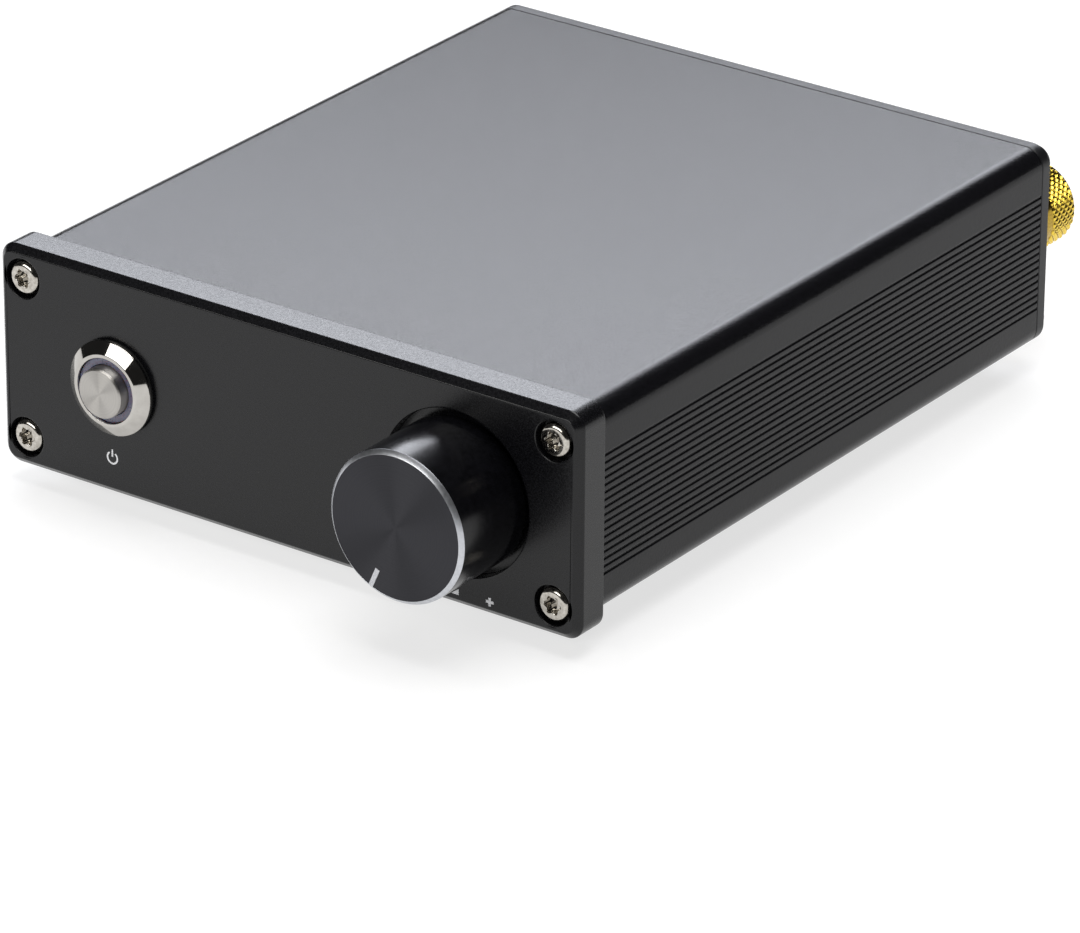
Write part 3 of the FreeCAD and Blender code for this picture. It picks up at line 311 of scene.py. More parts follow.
@dataclass(frozen=True)
class Finish:
    """A finish with an even grain: its colours in the grain's lows and highs, its gloss and its relief.

    The grain is noise whose cell is grain_mm across, read from Object coordinates.
    """

    name: str
    low: str
    high: str
    roughness: float
    metallic: float = 0.0
    grain_mm: float = 0.3
    relief_mm: float = 0.004
    gloss_spread: float = 0.05
    sockets: tuple[tuple[str, Any], ...] = ()

    def place(self, tree: Tree) -> Socket:
        """Object coordinates in metres."""
        return add_node(tree, "TexCoord").outputs["Object"]

    def grain(self, tree: Tree, place: Socket) -> Socket:
        """Grain from 0 to 1 at each place."""
        feeds = {"Vector": place, "Scale": 1 / (self.grain_mm * MM), "Detail": 3.0, "Roughness": 0.6}
        return add_node(tree, "TexNoise", feeds=feeds).outputs[0]

    def extra(self, tree: Tree, shader: Node, place: Socket) -> None:
        """Nothing more for an even finish."""

    def material(self) -> bpy.types.Material:
        """The finish's material, made the first time it is asked for."""
        found = bpy.data.materials.get(self.name)
        if found:
            return found
        material = bpy.data.materials.new(self.name)
        material.use_nodes = True
        tree = material.node_tree
        shader = tree.nodes["Principled BSDF"]
        place = self.place(tree)
        grain = self.grain(tree, place)
        ramp = add_node(tree, "ValToRGB", feeds={"Fac": grain})
        for stop, spot, code in zip(ramp.color_ramp.elements, COLOUR_SPAN, (self.low, self.high)):
            stop.position = spot
            stop.color = linear(code)
        gloss = add_node(tree, "MapRange", feeds={
            "Value": grain, "From Min": GLOSS_SPAN[0], "From Max": GLOSS_SPAN[1],
            "To Min": self.roughness - self.gloss_spread, "To Max": self.roughness + self.gloss_spread})
        bump = add_node(tree, "Bump", feeds={
            "Height": grain, "Strength": 1.0, "Distance": self.relief_mm * MM})
        tree.links.new(ramp.outputs["Color"], shader.inputs["Base Color"])
        tree.links.new(gloss.outputs["Result"], shader.inputs["Roughness"])
        tree.links.new(bump.outputs["Normal"], shader.inputs["Normal"])
        shader.inputs["Metallic"].default_value = self.metallic
        for name, value in self.sockets:
            shader.inputs[name].default_value = value
        self.extra(tree, shader, place)
        return material


@dataclass(frozen=True)
class DrawnFinish(Finish):
    """A finish whose grain is pulled out along Y by the extrusion die, by length_mm over grain_mm."""

    length_mm: float = 30.0
    even_share: float = 0.75

    def grain(self, tree: Tree, place: Socket) -> Socket:
        """Noise on coordinates that are squeezed along Y, mixed with an even blasted grain."""
        squeeze = (1.0, self.grain_mm / self.length_mm, 1.0)
        drawn = add_node(tree, "Mapping", feeds={"Vector": place, "Scale": squeeze}).outputs[0]
        lines = Finish.grain(self, tree, drawn)
        even = Finish.grain(self, tree, place)
        return add_node(tree, "Mix", feeds={0: self.even_share, 2: lines, 3: even}).outputs[0]


@dataclass(frozen=True)
class SpunFinish(Finish):
    """A face turned on a lathe: fine rings about an axis along Y at centre (x, z), in millimetres."""

    centre: Spot = (0.0, 0.0)

    def place(self, tree: Tree) -> Socket:
        """Object coordinates from the lathe's axis."""
        middle = (-self.centre[0] * MM, 0.0, -self.centre[1] * MM)
        place = Finish.place(self, tree)
        return add_node(tree, "Mapping", feeds={"Vector": place, "Location": middle}).outputs[0]

    def reach(self, tree: Tree, place: Socket) -> Socket:
        """Distance from the axis."""
        flat = add_node(tree, "VectorMath", {"operation": "MULTIPLY"}, {0: place, 1: (1.0, 0.0, 1.0)})
        length = add_node(tree, "VectorMath", {"operation": "LENGTH"}, {0: flat.outputs[0]})
        return length.outputs["Value"]

    def grain(self, tree: Tree, place: Socket) -> Socket:
        """Noise along the distance from the axis, so that it makes rings."""
        noise = add_node(tree, "TexNoise", {"noise_dimensions": "1D"}, {
            "W": self.reach(tree, place), "Scale": 1 / (self.grain_mm * MM), "Detail": 2.0})
        return noise.outputs[0]

    def extra(self, tree: Tree, shader: Node, place: Socket) -> None:
        """Stretch the highlight across the rings: the tangent runs round the axis."""
        along = add_node(tree, "VectorMath", {"operation": "CROSS_PRODUCT"}, {0: place, 1: (0.0, 1.0, 0.0)})
        turned = add_node(tree, "VectorTransform", {
            "vector_type": "VECTOR", "convert_from": "OBJECT", "convert_to": "WORLD"}, {0: along.outputs[0]})
        tree.links.new(turned.outputs[0], shader.inputs["Tangent"])


@dataclass(frozen=True)
class KnurlShadeFinish(SpunFinish):
    """Painted highlight on a knurl's points and painted shade between them, from floor_mm to top_mm out."""

    floor_mm: float = 5.9
    top_mm: float = 6.35
    noise_share: float = 0.25

    def grain(self, tree: Tree, place: Socket) -> Socket:
        """How far out a place lies, from 0 in the grooves to 1 on the points, with a little noise."""
        # The depth paints shade into the grooves and a highlight onto the points; the noise is random tone.
        depth = add_node(tree, "MapRange", feeds={
            "Value": self.reach(tree, place), "From Min": self.floor_mm * MM, "From Max": self.top_mm * MM})
        noise = Finish.grain(self, tree, place)
        return add_node(tree, "Mix", feeds={0: self.noise_share, 2: depth.outputs[0], 3: noise}).outputs[0]

    def extra(self, tree: Tree, shader: Node, place: Socket) -> None:
        """No stretched highlight on a knurl."""


# A wave texture has about this many waves in one unit of its place.
WAVES_PER_UNIT = 3.14


@dataclass(frozen=True)
class LaminateFinish(Finish):
    """Glass-cloth laminate: two waves at right angles give the weave under the solder mask."""

    def grain(self, tree: Tree, place: Socket) -> Socket:
        """Product of a wave along X and a wave along Y, one thread in each period."""
        scale = 1 / (WAVES_PER_UNIT * self.grain_mm * MM)
        feeds = {"Vector": place, "Scale": scale, "Distortion": 0.4}
        waves = [add_node(tree, "TexWave", {"bands_direction": way}, feeds).outputs[1] for way in ("X", "Y")]
        return add_node(tree, "Math", {"operation": "MULTIPLY"}, {0: waves[0], 1: waves[1]}).outputs[0]


# Aluminium plate, glass-bead blasted and anodised black: near-black, with a soft even sheen and a fine
# grain. The real grain is about 0.1 mm, and it is drawn at 0.28 mm because finer grain doesn't show.
PANEL_BLACK = Finish("anodised_aluminium_blasted_panel", "#09090b", "#111114", 0.26, grain_mm=0.28,
                     relief_mm=0.005, sockets=(("IOR", 1.4),))
# Extruded aluminium, blasted lightly and anodised: as the panel, with faint lines from the die.
CASE_BLACK = DrawnFinish("anodised_aluminium_extruded_case", "#0a0a0c", "#161619", 0.21, grain_mm=0.3,
                         relief_mm=0.03, sockets=(("IOR", 1.28),))
# Flat rear plate, rolled and anodised: a little smoother than the panel.
REAR_BLACK = Finish("anodised_aluminium_rolled_rear", "#0b0b0d", "#131316", 0.38, grain_mm=0.5,
                    relief_mm=0.006, sockets=(("IOR", 1.4),))
# Fine rings stretch a highlight across themselves, a quarter turn from the tangent.
LATHE_SHEEN = (("Anisotropic", 0.9), ("Anisotropic Rotation", 0.25))
# Knob turned from bar and anodised black: rings that stretch the light into an hourglass.
KNOB_BLACK = SpunFinish("anodised_aluminium_turned_knob", "#333337", "#37373b", 0.40, 0.8, grain_mm=0.2,
                        relief_mm=0.0005, sockets=LATHE_SHEEN, centre=(AT.knob_x, AT.middle_z))
# The knob's side and bevel, polished before anodising: glossy black.
KNOB_GLOSS = Finish("anodised_aluminium_polished_rim", "#08080a", "#0e0e11", 0.2, 0.0, grain_mm=0.8,
                    relief_mm=0.001, gloss_spread=0.02, sockets=(("IOR", 1.33),))
# The bevel cut through the black with a diamond tool: bare bright aluminium.
KNOB_BRIGHT = Finish("diamond_cut_aluminium_bevel", "#bfc1c6", "#cbcdd2", 0.34, 1.0, grain_mm=0.5,
                     relief_mm=0.0004, gloss_spread=0.02)
# Pointer filled with satin silver paint.
POINTER_SILVER = Finish("satin_silver_fill", "#b9bac0", "#d6d7db", 0.35, 0.35, grain_mm=0.15)
# Screen-printed near-white ink: matt, with slightly uneven cover.
MARK_INK = Finish("screen_printed_light_ink", "#dadbde", "#f3f4f6", 0.55, grain_mm=0.12, relief_mm=0.002)
# Pan-head screws in bright nickel: mirror-like, slightly warm.
NICKEL = Finish("bright_nickel_plate", "#a8a39b", "#c9c5bd", 0.14, 1.0, grain_mm=0.6, relief_mm=0.002)
# Screws in blackened steel: dark and satin.
BLACK_STEEL = Finish("blackened_steel", "#161617", "#252527", 0.34, 0.7, grain_mm=0.3)
# Polished chrome of the switch's head: dark and light bands of the studio.
CHROME = Finish("polished_chrome_plate", "#b3b0ab", "#bcb9b4", 0.055, 1.0, grain_mm=2.0, relief_mm=0.0004,
                gloss_spread=0.015)
# Stainless cap turned on its face: fine rings.
BUTTON_STEEL = SpunFinish("turned_stainless_steel", "#aeaba7", "#b6b3ae", 0.38, 1.0, grain_mm=0.2,
                          relief_mm=0.0006, sockets=LATHE_SHEEN, centre=(AT.switch_x, AT.middle_z))
# Frosted polycarbonate ring with its lamp off: a cool grey that light gets into.
RING_CLEAR = Finish("frosted_polycarbonate_ring", "#74718a", "#7c7992", 0.30, grain_mm=0.4, sockets=(
    ("IOR", 1.58), ("Transmission Weight", 0.25), ("Subsurface Weight", 0.4), ("Subsurface Scale", 0.001)))
# Moulded rubber: matt, with a fine spark-eroded texture.
RUBBER = Finish("moulded_rubber", "#0b0b0b", "#151515", 0.72, grain_mm=0.3, relief_mm=0.02)
# Gold flash over turned brass, on the plain parts.
GOLD = Finish("gold_flash_plain", "#c9982c", "#e6c050", 0.16, 1.0, grain_mm=0.5, relief_mm=0.001)
# Gold flash over a diamond knurl: a painted highlight on the points and painted shade in the grooves,
# brown-gold.
GOLD_KNURL_PAINTED_SHADE = KnurlShadeFinish("gold_flash_knurled_painted_shade", "#6a4c0d", "#e9c94e", 0.18, 1.0, grain_mm=0.3,
                           relief_mm=0.002, centre=(AT.earth_x, AT.middle_z))
# Injection-moulded plastics: a fine even texture, more gloss on the light ones.
BLACK_PLASTIC = Finish("moulded_black_nylon", "#0d0d0e", "#18181a", 0.45, grain_mm=0.25, relief_mm=0.01)
CHIP_PLASTIC = Finish("moulded_epoxy_package", "#101011", "#1b1b1c", 0.6, grain_mm=0.15, relief_mm=0.008)
WHITE_PLASTIC = Finish("moulded_white_polypropylene", "#d3d2cb", "#e8e7e1", 0.38, grain_mm=0.4)
RED_PLASTIC = Finish("moulded_red_polypropylene", "#8f1414", "#b32020", 0.38, grain_mm=0.4)
WIRE_RED = Finish("extruded_pvc_jacket", "#7c1010", "#981818", 0.42, grain_mm=0.3)
# Green solder mask over glass cloth: the weave just shows.
LAMINATE = LaminateFinish("glass_epoxy_laminate", "#0c3a1c", "#14512a", 0.32, grain_mm=0.6, relief_mm=0.01)
# Shrunk vinyl sleeve of a can capacitor.
CAN_SLEEVE = Finish("shrunk_vinyl_sleeve", "#10142a", "#1a2040", 0.35, grain_mm=0.8, relief_mm=0.006)
FILM_RED = Finish("moulded_film_capacitor_box", "#8a2418", "#a83022", 0.4, grain_mm=0.4)
LACQUER = Finish("resistor_lacquer", "#4a7891", "#5f93ad", 0.3, grain_mm=0.5, relief_mm=0.008)
# Bare metals inside the case.
SINK_METAL = DrawnFinish("extruded_plain_aluminium", "#8e8f92", "#a9aaad", 0.38, 1.0, grain_mm=0.3)
POT_ZINC = Finish("zinc_plated_steel", "#85857f", "#a4a49d", 0.36, 1.0, grain_mm=0.9, relief_mm=0.004)
SHAFT_STEEL = Finish("ground_steel", "#8b8b8b", "#a8a8a8", 0.28, 1.0, grain_mm=0.25)
TIN = Finish("tinned_copper", "#a7a7a2", "#c4c4bf", 0.25, 1.0, grain_mm=0.4)


@dataclass(frozen=True)
class Piece:
    """How a mesh is named, and its finish, body, material slot (not used) and the nodes it replaces."""

    name: str
    finish: Finish
    body: str
    slot: str
    nodes: tuple[str, ...] = ()

    def make(self, shell: Shell, crease: float = 38.0) -> bpy.types.Object:
        """Make the shell a finished object in the frame.

        Args:
            shell: Its surfaces, in millimetres.
            crease: The angle between faces from which an edge stays sharp, in degrees.

        Returns:
            The object, riding on its body.
        """
        mesh = bpy.data.meshes.new(self.name)
        mesh.from_pydata(np.concatenate(shell.points) * MM, [], shell.faces)
        work = bmesh.new()
        work.from_mesh(mesh)
        bmesh.ops.dissolve_degenerate(work, dist=WELD, edges=work.edges)
        bmesh.ops.recalc_face_normals(work, faces=work.faces)
        work.to_mesh(mesh)
        work.free()
        mesh.shade_smooth()
        mesh.set_sharp_from_angle(angle=math.radians(crease))
        mesh.materials.append(self.finish.material())
        piece = bpy.data.objects.new(self.name, mesh)
        bpy.context.scene.collection.objects.link(piece)
        piece.modifiers.new("even_shading", "WEIGHTED_NORMAL").keep_sharp = True
        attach(piece, self.body)
        if self.nodes:
            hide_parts(*self.nodes)
        log.info("%s: %d faces on %s", self.name, len(mesh.polygons), self.body)
        return piece


def dress(finishes: dict[str, Finish]) -> None:
    """Give carried-over CAD nodes their finishes, by node name."""
    for name, finish in finishes.items():
        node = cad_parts[name]
        if not node.material_slots:
            node.data.materials.append(None)
        for slot in node.material_slots:
            slot.material = finish.material()
        log.info("%s dressed in %s", name, finish.name)


# Sub-assemblies


@dataclass
class FrontPanel:
    """Thick bevelled plate with the knob's recess, the switch's hole and sunk screw holes."""

    outline: Outline = Outline(97.0, 32.7, 2.5)
    chamfer: float = 1.0
    edge: float = 0.14
    back_edge: float = 0.15
    recess_r: float = 11.9
    recess_depth: float = 2.0
    bushing_r: float = 3.6
    barrel_r: float = 6.1
    sink_r: float = 2.9
    screw_r: float = 1.45
    rim_land: float = 0.4
    hole_land: float = 0.3
    switch_step: float = 0.01

    def rim(self) -> Array:
        """Rows of (inset, y) round the edge: face corner, chamfer, side and back corner."""
        front, back = AT.face_y, AT.case_front_y
        return eased([
            (self.chamfer + self.rim_land, front, 0), (self.chamfer, front, self.edge),
            (0.0, front + self.chamfer, self.edge), (0.0, back, self.back_edge),
            (self.rim_land, back, 0)], 4)

    def hole(self, sink_r: float, depth: float, radius: float) -> Array:
        """Rows of (radius, y) down a hole that is wider to a depth, with a fine broken edge."""
        front, back = AT.face_y, AT.case_front_y
        floor = front + depth
        return eased([
            (sink_r + self.hole_land, front, 0), (sink_r, front, self.edge), (sink_r, floor, 0.1),
            (radius, floor, self.edge), (radius, back, self.edge), (radius + self.hole_land, back, 0)], 4)

    def build(self) -> None:
        """Make the plate."""
        sink = self.hole(self.sink_r, AT.sink_depth, self.screw_r)
        holes = [(spot, sink) for spot in AT.screws()]
        holes.append(((AT.knob_x, AT.middle_z), self.hole(self.recess_r, self.recess_depth, self.bushing_r)))
        plain = self.hole(self.barrel_r, self.recess_depth, self.barrel_r - self.switch_step)
        holes.append(((AT.switch_x, AT.middle_z), plain))
        shell = Shell()
        shell.add_plate(self.outline, self.rim(), holes)
        Piece("bevelled_front_panel", PANEL_BLACK, "case", "panel_anodised", ("front_panel",)).make(shell)


@dataclass
class PrintedMarks:
    """Generic marks on the front panel: a power sign, and minus, wedge and plus under the knob."""

    height: float = 0.02
    base_z: float = 4.9
    bar: float = 1.25
    stroke: float = 0.4
    plus_x: float = 34.16
    minus_x: float = 22.84
    wedge: Spot = (27.9, 29.1)
    wedge_height: float = 0.9
    power: Spot = (-29.15, 8.3)
    power_r: float = 0.85
    power_stroke: float = 0.26
    power_gap: float = 35.0
    tick: Spot = (0.15, 1.25)

    def cross(self) -> Array:
        """Outline of a plus: twelve corners half a bar or half a stroke from its centre."""
        a, b = self.bar / 2, self.stroke / 2
        x = np.array([b, a, a, b, b, -b, -b, -a, -a, -b, -b, b])
        z = np.array([-b, -b, b, b, a, a, b, b, -b, -b, -a, -a])
        return np.stack([self.plus_x + x, self.base_z + z], 1)

    def block(self, half: float, low: float, high: float, centre: Spot) -> Array:
        """Outline of a block about a centre, from -half to half and from low to high."""
        return np.array([(-half, low), (half, low), (half, high), (-half, high)]) + centre

    def build(self) -> None:
        """Make the marks as thin prisms of ink that stand on the panel's face."""
        shell = Shell()
        y0, y1 = AT.face_y - self.height, AT.face_y + self.height
        minus = self.block(self.bar / 2, -self.stroke / 2, self.stroke / 2, (self.minus_x, self.base_z))
        tip, end = self.wedge
        low = self.base_z - self.wedge_height / 2
        wedge = np.array([(tip, low), (end, low), (end, low + self.wedge_height)])
        half = self.power_stroke / 2
        tick = self.block(half, *self.tick, self.power)
        first, last = 90 + self.power_gap, 450 - self.power_gap
        ring = np.concatenate([arc(self.power_r + half, first, last, self.power),
                               arc(self.power_r - half, last, first, self.power)])
        for outline in (self.cross(), minus, wedge, ring, tick):
            shell.add_prism(outline, y0, y1)
        Piece("printed_marks", MARK_INK, "case", "panel_anodised").make(shell)


@dataclass
class Sleeve:
    """Extruded case: grooved outside, with screw channels and board slots inside."""

    wall: float = 1.8
    grooves: int = 17
    pitch: float = 1.07
    mouth: float = 0.46
    floor: float = 0.1
    depth: float = 0.17
    drop: float = 0.4
    lip: float = 0.13
    end_edge: float = 0.12
    channel_r: float = 3.0
    bore_r: float = 1.3
    channel_mouth: float = 1.4
    rib_reach: float = 2.4
    rib_z: tuple[float, ...] = (-9.1, -8.1, -6.4, -5.4)
    mouth_angle: float = 225.0
    boss_start: float = 150.0
    boss_end: Spot = (287.5, 300.0)

    def outside(self) -> Array:
        """Outer section: a rounded rectangle whose sides dip in once for each groove."""
        x, z = AT.case.width / 2, AT.case.height / 2
        centres = self.pitch * (np.arange(self.grooves) - (self.grooves - 1) / 2) - self.drop
        side = [(x - inward, centre + dz, self.lip) for centre in centres
                for inward, dz in ((0, -self.mouth / 2), (self.depth, -self.floor / 2),
                                   (self.depth, self.floor / 2), (0, self.mouth / 2))]
        right = [(x, -z, AT.case.radius)] + side + [(x, z, AT.case.radius)]
        left = [(-a, b, ease) for a, b, ease in reversed(right)]
        return eased(right + left, 8, closed=True)

    def corner(self, sx: int, sz: int) -> Array:
        """Inner section of one corner: the C of its screw channel, with its mouth to the middle.

        The C is the arc of the boss, the mouth's edge, the bore gone round the long way, the other edge
        and the rest of the boss. It is worked out for the upper right corner and mirrored.
        """
        mouth = self.mouth_angle
        boss, bore = (math.degrees(math.asin(self.channel_mouth / 2 / r))
                      for r in (self.channel_r, self.bore_r))
        shape = np.concatenate([arc(self.channel_r, self.boss_start, mouth - boss),
                                arc(self.bore_r, mouth - bore, mouth - 360 + bore),
                                arc(self.channel_r, mouth + boss, self.boss_end[sz > 0])])
        shape += (AT.screw_x, AT.screw_dz)
        return shape[:: -1 if sx * sz > 0 else 1] * (sx, sz)

    def inside(self) -> Array:
        """Inner section, anticlockwise from the lower right: corners, and the ribs of the board's slots."""
        wall = AT.case.width / 2 - self.wall
        rib = wall - self.rib_reach
        z0, z1, z2, z3 = self.rib_z
        ribs = np.array([(rib, z1), (wall, z1), (wall, z2), (rib, z2), (rib, z3), (wall, z3)])
        return np.concatenate([self.corner(1, -1), ribs, self.corner(1, 1), self.corner(-1, 1),
                               ribs[::-1] * (-1, 1), self.corner(-1, -1)])

    def build(self) -> None:
        """Sweep both sections from the front end to the back and close the wall between them."""
        shell = Shell()
        front, back, edge = AT.case_front_y, AT.case_back_y, self.end_edge
        outer = self.outside()
        shrink = 1 - edge / AT.case.height * 2
        rows = ((shrink, front), (1.0, front + edge), (1.0, back - edge), (shrink, back))
        skin = shell.add_grid(np.stack([lifted(outer * scale, y) for scale, y in rows]))
        hollow = shell.add_grid(np.stack([lifted(self.inside(), y) for y in (front, back)]))
        shell.add_flat([skin[0], hollow[0]])
        shell.add_flat([skin[-1], hollow[-1]])
        piece = Piece("extruded_sleeve", CASE_BLACK, "case", "case_anodised", ("enclosure_body",))
        piece.make(shell, crease=30)


@dataclass
class RearPanel:
    """Flat rear plate with holes for the sockets, the earth terminal and its screws."""

    edge: float = 0.2
    hole_edge: float = 0.08
    phono_r: float = 4.4
    supply_x: float = -36.5
    supply_r: float = 4.25
    stud_r: float = 2.1
    screw_r: float = 1.45
    rim_land: float = 0.6
    hole_land: float = 0.3

    def hole(self, radius: float) -> Array:
        """Rows of (radius, y) through the plate, with both edges broken."""
        front, back, edge = AT.case_back_y, AT.back_y, self.hole_edge
        wide = radius + self.hole_land
        return eased([(wide, front, 0), (radius, front, edge), (radius, back, edge), (wide, back, 0)], 4)

    def build(self) -> None:
        """Make the plate."""
        front, back = AT.case_back_y, AT.back_y
        rim = eased([
            (self.rim_land, front, 0), (0.0, front, self.edge), (0.0, back, self.edge),
            (self.rim_land, back, 0)], 4)
        spots = [(x, AT.middle_z, self.phono_r) for x in AT.phono_x]
        spots += [(self.supply_x, AT.middle_z, self.supply_r), (AT.earth_x, AT.middle_z, self.stud_r)]
        spots += [(x, z, self.screw_r) for x, z in AT.screws()]
        shell = Shell()
        shell.add_plate(AT.case, rim, [((x, z), self.hole(radius)) for x, z, radius in spots])
        Piece("flat_rear_panel", REAR_BLACK, "case", "rear_anodised", ("rear_panel",)).make(shell)


@dataclass
class PanelScrews:
    """Pan-head screws with six-lobed sockets, four sunk in front and four proud behind."""

    head_r: float = 2.45
    head_height: float = 1.9
    dome: float = 0.5
    socket_r: float = 1.2
    lobe: float = 0.17
    socket_depth: float = 1.1
    socket_dish: float = 0.2
    socket_edge: float = 0.06
    flat_r: float = 1.6
    shank_r: float = 1.25
    grip: float = 9.0

    def profile(self, seat_y: float, into: int) -> tuple[Array, Array]:
        """Rows of (radius, y) from the socket's floor over the head to the tip, and each row's lobes.

        Args:
            seat_y: Where the head sits.
            into: 1 for a screw that points to the back and -1 for one that points to the front.

        Returns:
            The profile and the lobe depths.
        """
        top = seat_y - into * self.head_height
        floor = top + into * self.socket_depth
        socket = [(0, floor + into * self.socket_dish), (self.socket_r, floor),
                  (self.socket_r, top + into * self.socket_edge), (self.socket_r + self.socket_edge, top)]
        head = eased([
            (self.flat_r, top, 0), (self.head_r - self.dome, top, 0.35),
            (self.head_r, top + into * self.dome, 0.2), (self.head_r, seat_y, 0.08),
            (self.shank_r, seat_y, 0.08), (self.shank_r, seat_y + into * self.grip, 0.3),
            (0, seat_y + into * self.grip, 0)], 6)
        rows = np.concatenate([np.array(socket, float), head])
        lobes = np.zeros(len(rows))
        lobes[1 : len(socket)] = self.lobe
        return rows, lobes

    def build(self) -> None:
        """Make both sets."""
        sets = (("front_pan_screws", NICKEL, "nickel", "front_screws", AT.face_y + AT.sink_depth, 1),
                ("rear_pan_screws", BLACK_STEEL, "black_steel", "rear_screws", AT.back_y, -1))
        for name, finish, slot, node, seat_y, into in sets:
            rows, lobes = self.profile(seat_y, into)
            shell = Shell.turned(rows, AT.screws(), FAR, lobes=lobes)
            Piece(name, finish, "case", slot, (node,)).make(shell)


@dataclass
class Feet:
    """Four tapered rubber feet, dished underneath."""

    radius: float = 5.5
    height: float = 4.0
    taper: float = 0.8
    fillet: float = 0.7
    dish_r: float = 2.2
    dish: float = 0.6
    x: float = 36.5
    rows_y: Spot = (-39.7, 42.7)

    def build(self) -> None:
        """Turn one profile about an upright axis at each place."""
        low = self.radius - self.taper
        profile = eased([
            (0, self.dish, 0), (self.dish_r, self.dish, 0.3), (self.dish_r, 0, 0.15), (low, 0, self.fillet),
            (self.radius, self.height, 0.05), (0, self.height, 0)], 6)
        spots = [(side * self.x, y) for side in (-1, 1) for y in self.rows_y]
        shell = Shell.turned(profile, spots, FAR, Axis.HEIGHT)
        Piece("rubber_foot_set", RUBBER, "case", "foot_rubber", ("rubber_feet",)).make(shell)


@dataclass
class VolumeControl:
    """Turned knob with a bright bevel and a filled pointer, over the control's own parts."""

    radius: float = 10.8
    front: float = -71.5
    back: float = -57.3
    bevel: float = 0.6
    dish: float = 0.05
    cavity_r: float = 8.6
    cavity_depth: float = 5.0
    bore_r: float = 3.05
    shaft_front: float = -68.3
    side_bevel: float = 0.3
    ring_skin: float = 0.12
    ring_under: float = 0.02
    ring_overlap: float = 0.05
    gloss_start: float = 0.06
    pointer_angle: float = 23.0
    pointer_width: float = 0.7
    pointer_start: float = 7.3
    pointer_y: float = 0.015
    pointer_lift: float = 0.012
    pointer_sunk: float = 0.2
    pointer_short: float = 0.03

    def knob(self) -> None:
        """Make the black knob: face, side and hollow back."""
        floor = self.back - self.cavity_depth
        face_r = self.radius - self.bevel
        face_y = self.front + self.dish
        profile = eased([
            (0, face_y, 0), (face_r - self.ring_overlap, face_y, 0.02),
            (face_r, self.front + self.ring_under, 0.01),
            (self.radius - self.ring_under, self.front + self.bevel, 0.05),
            (self.radius, self.back - self.side_bevel, 0.1),
            (self.radius - self.side_bevel, self.back, 0.1), (self.cavity_r, self.back, 0.15),
            (self.cavity_r, floor, 0.3), (self.bore_r, floor, 0.15), (self.bore_r, self.shaft_front, 0.1),
            (0, self.shaft_front, 0)], 5)
        shell = Shell.turned(profile, [(AT.knob_x, AT.middle_z)], NEAR)
        knob = Piece("turned_volume_knob", KNOB_BLACK, "knob", "knob_anodised", ("volume_knob",)).make(shell)
        knob.data.materials.append(KNOB_GLOSS.material())
        for face in knob.data.polygons:
            face.material_index = int(face.center.y > (self.front + self.gloss_start) * MM)

    def bevel_ring(self) -> None:
        """Make the diamond-cut bevel as a thin ring that lies on the knob's front edge."""
        face_r, skin = self.radius - self.bevel, self.ring_skin
        profile = eased([
            (face_r - self.ring_under, self.front, 0.02), (self.radius, self.front + self.bevel, 0.04),
            (self.radius - skin, self.front + self.bevel + self.ring_overlap, 0.02),
            (face_r - self.ring_overlap, self.front + skin, 0.02)], 4, closed=True)
        shell = Shell.turned(profile, [(AT.knob_x, AT.middle_z)], NEAR)
        Piece("knob_bright_bevel", KNOB_BRIGHT, "knob", "knob_anodised").make(shell)

    def pointer(self) -> None:
        """Carry the pointer's width along a line from the face over the bevel.

        A place on the strip is (across, y, down) before it is turned by the pointer's angle about the
        knob's axis, where y follows the face and then the bevel.
        """
        path = np.array([(self.pointer_start, self.front + self.pointer_y),
                         (self.radius - self.bevel, self.front),
                         (self.radius - self.pointer_short, self.front + self.bevel - self.pointer_lift)])
        half, sunk = self.pointer_width / 2, self.pointer_sunk
        down, y = path[:, 0], path[:, 1]
        corner = [(-half, 0.0), (half, 0.0), (half, sunk), (-half, sunk)]
        rings = np.stack([np.stack([across + 0 * y, y + depth, -down], 1) for across, depth in corner], 1)
        angle = math.radians(self.pointer_angle)
        cos, sin = math.cos(angle), math.sin(angle)
        turn = np.array([[cos, 0, sin], [0, 1, 0], [-sin, 0, cos]])
        placed = rings @ turn.T + (AT.knob_x, 0, AT.middle_z)
        shell = Shell()
        index = shell.add_grid(placed)
        shell.faces += [index[0].tolist(), index[-1].tolist()]
        Piece("knob_pointer_fill", POINTER_SILVER, "knob", "knob_anodised").make(shell)

    def build(self) -> None:
        """Make the knob and dress what is behind it."""
        self.knob()
        self.bevel_ring()
        self.pointer()
        dress({"knob_set_screw": BLACK_STEEL, "pot_shaft": SHAFT_STEEL, "pot_housing": POT_ZINC,
               "pot_washer": NICKEL, "pot_nut": NICKEL, "pot_pins": TIN})


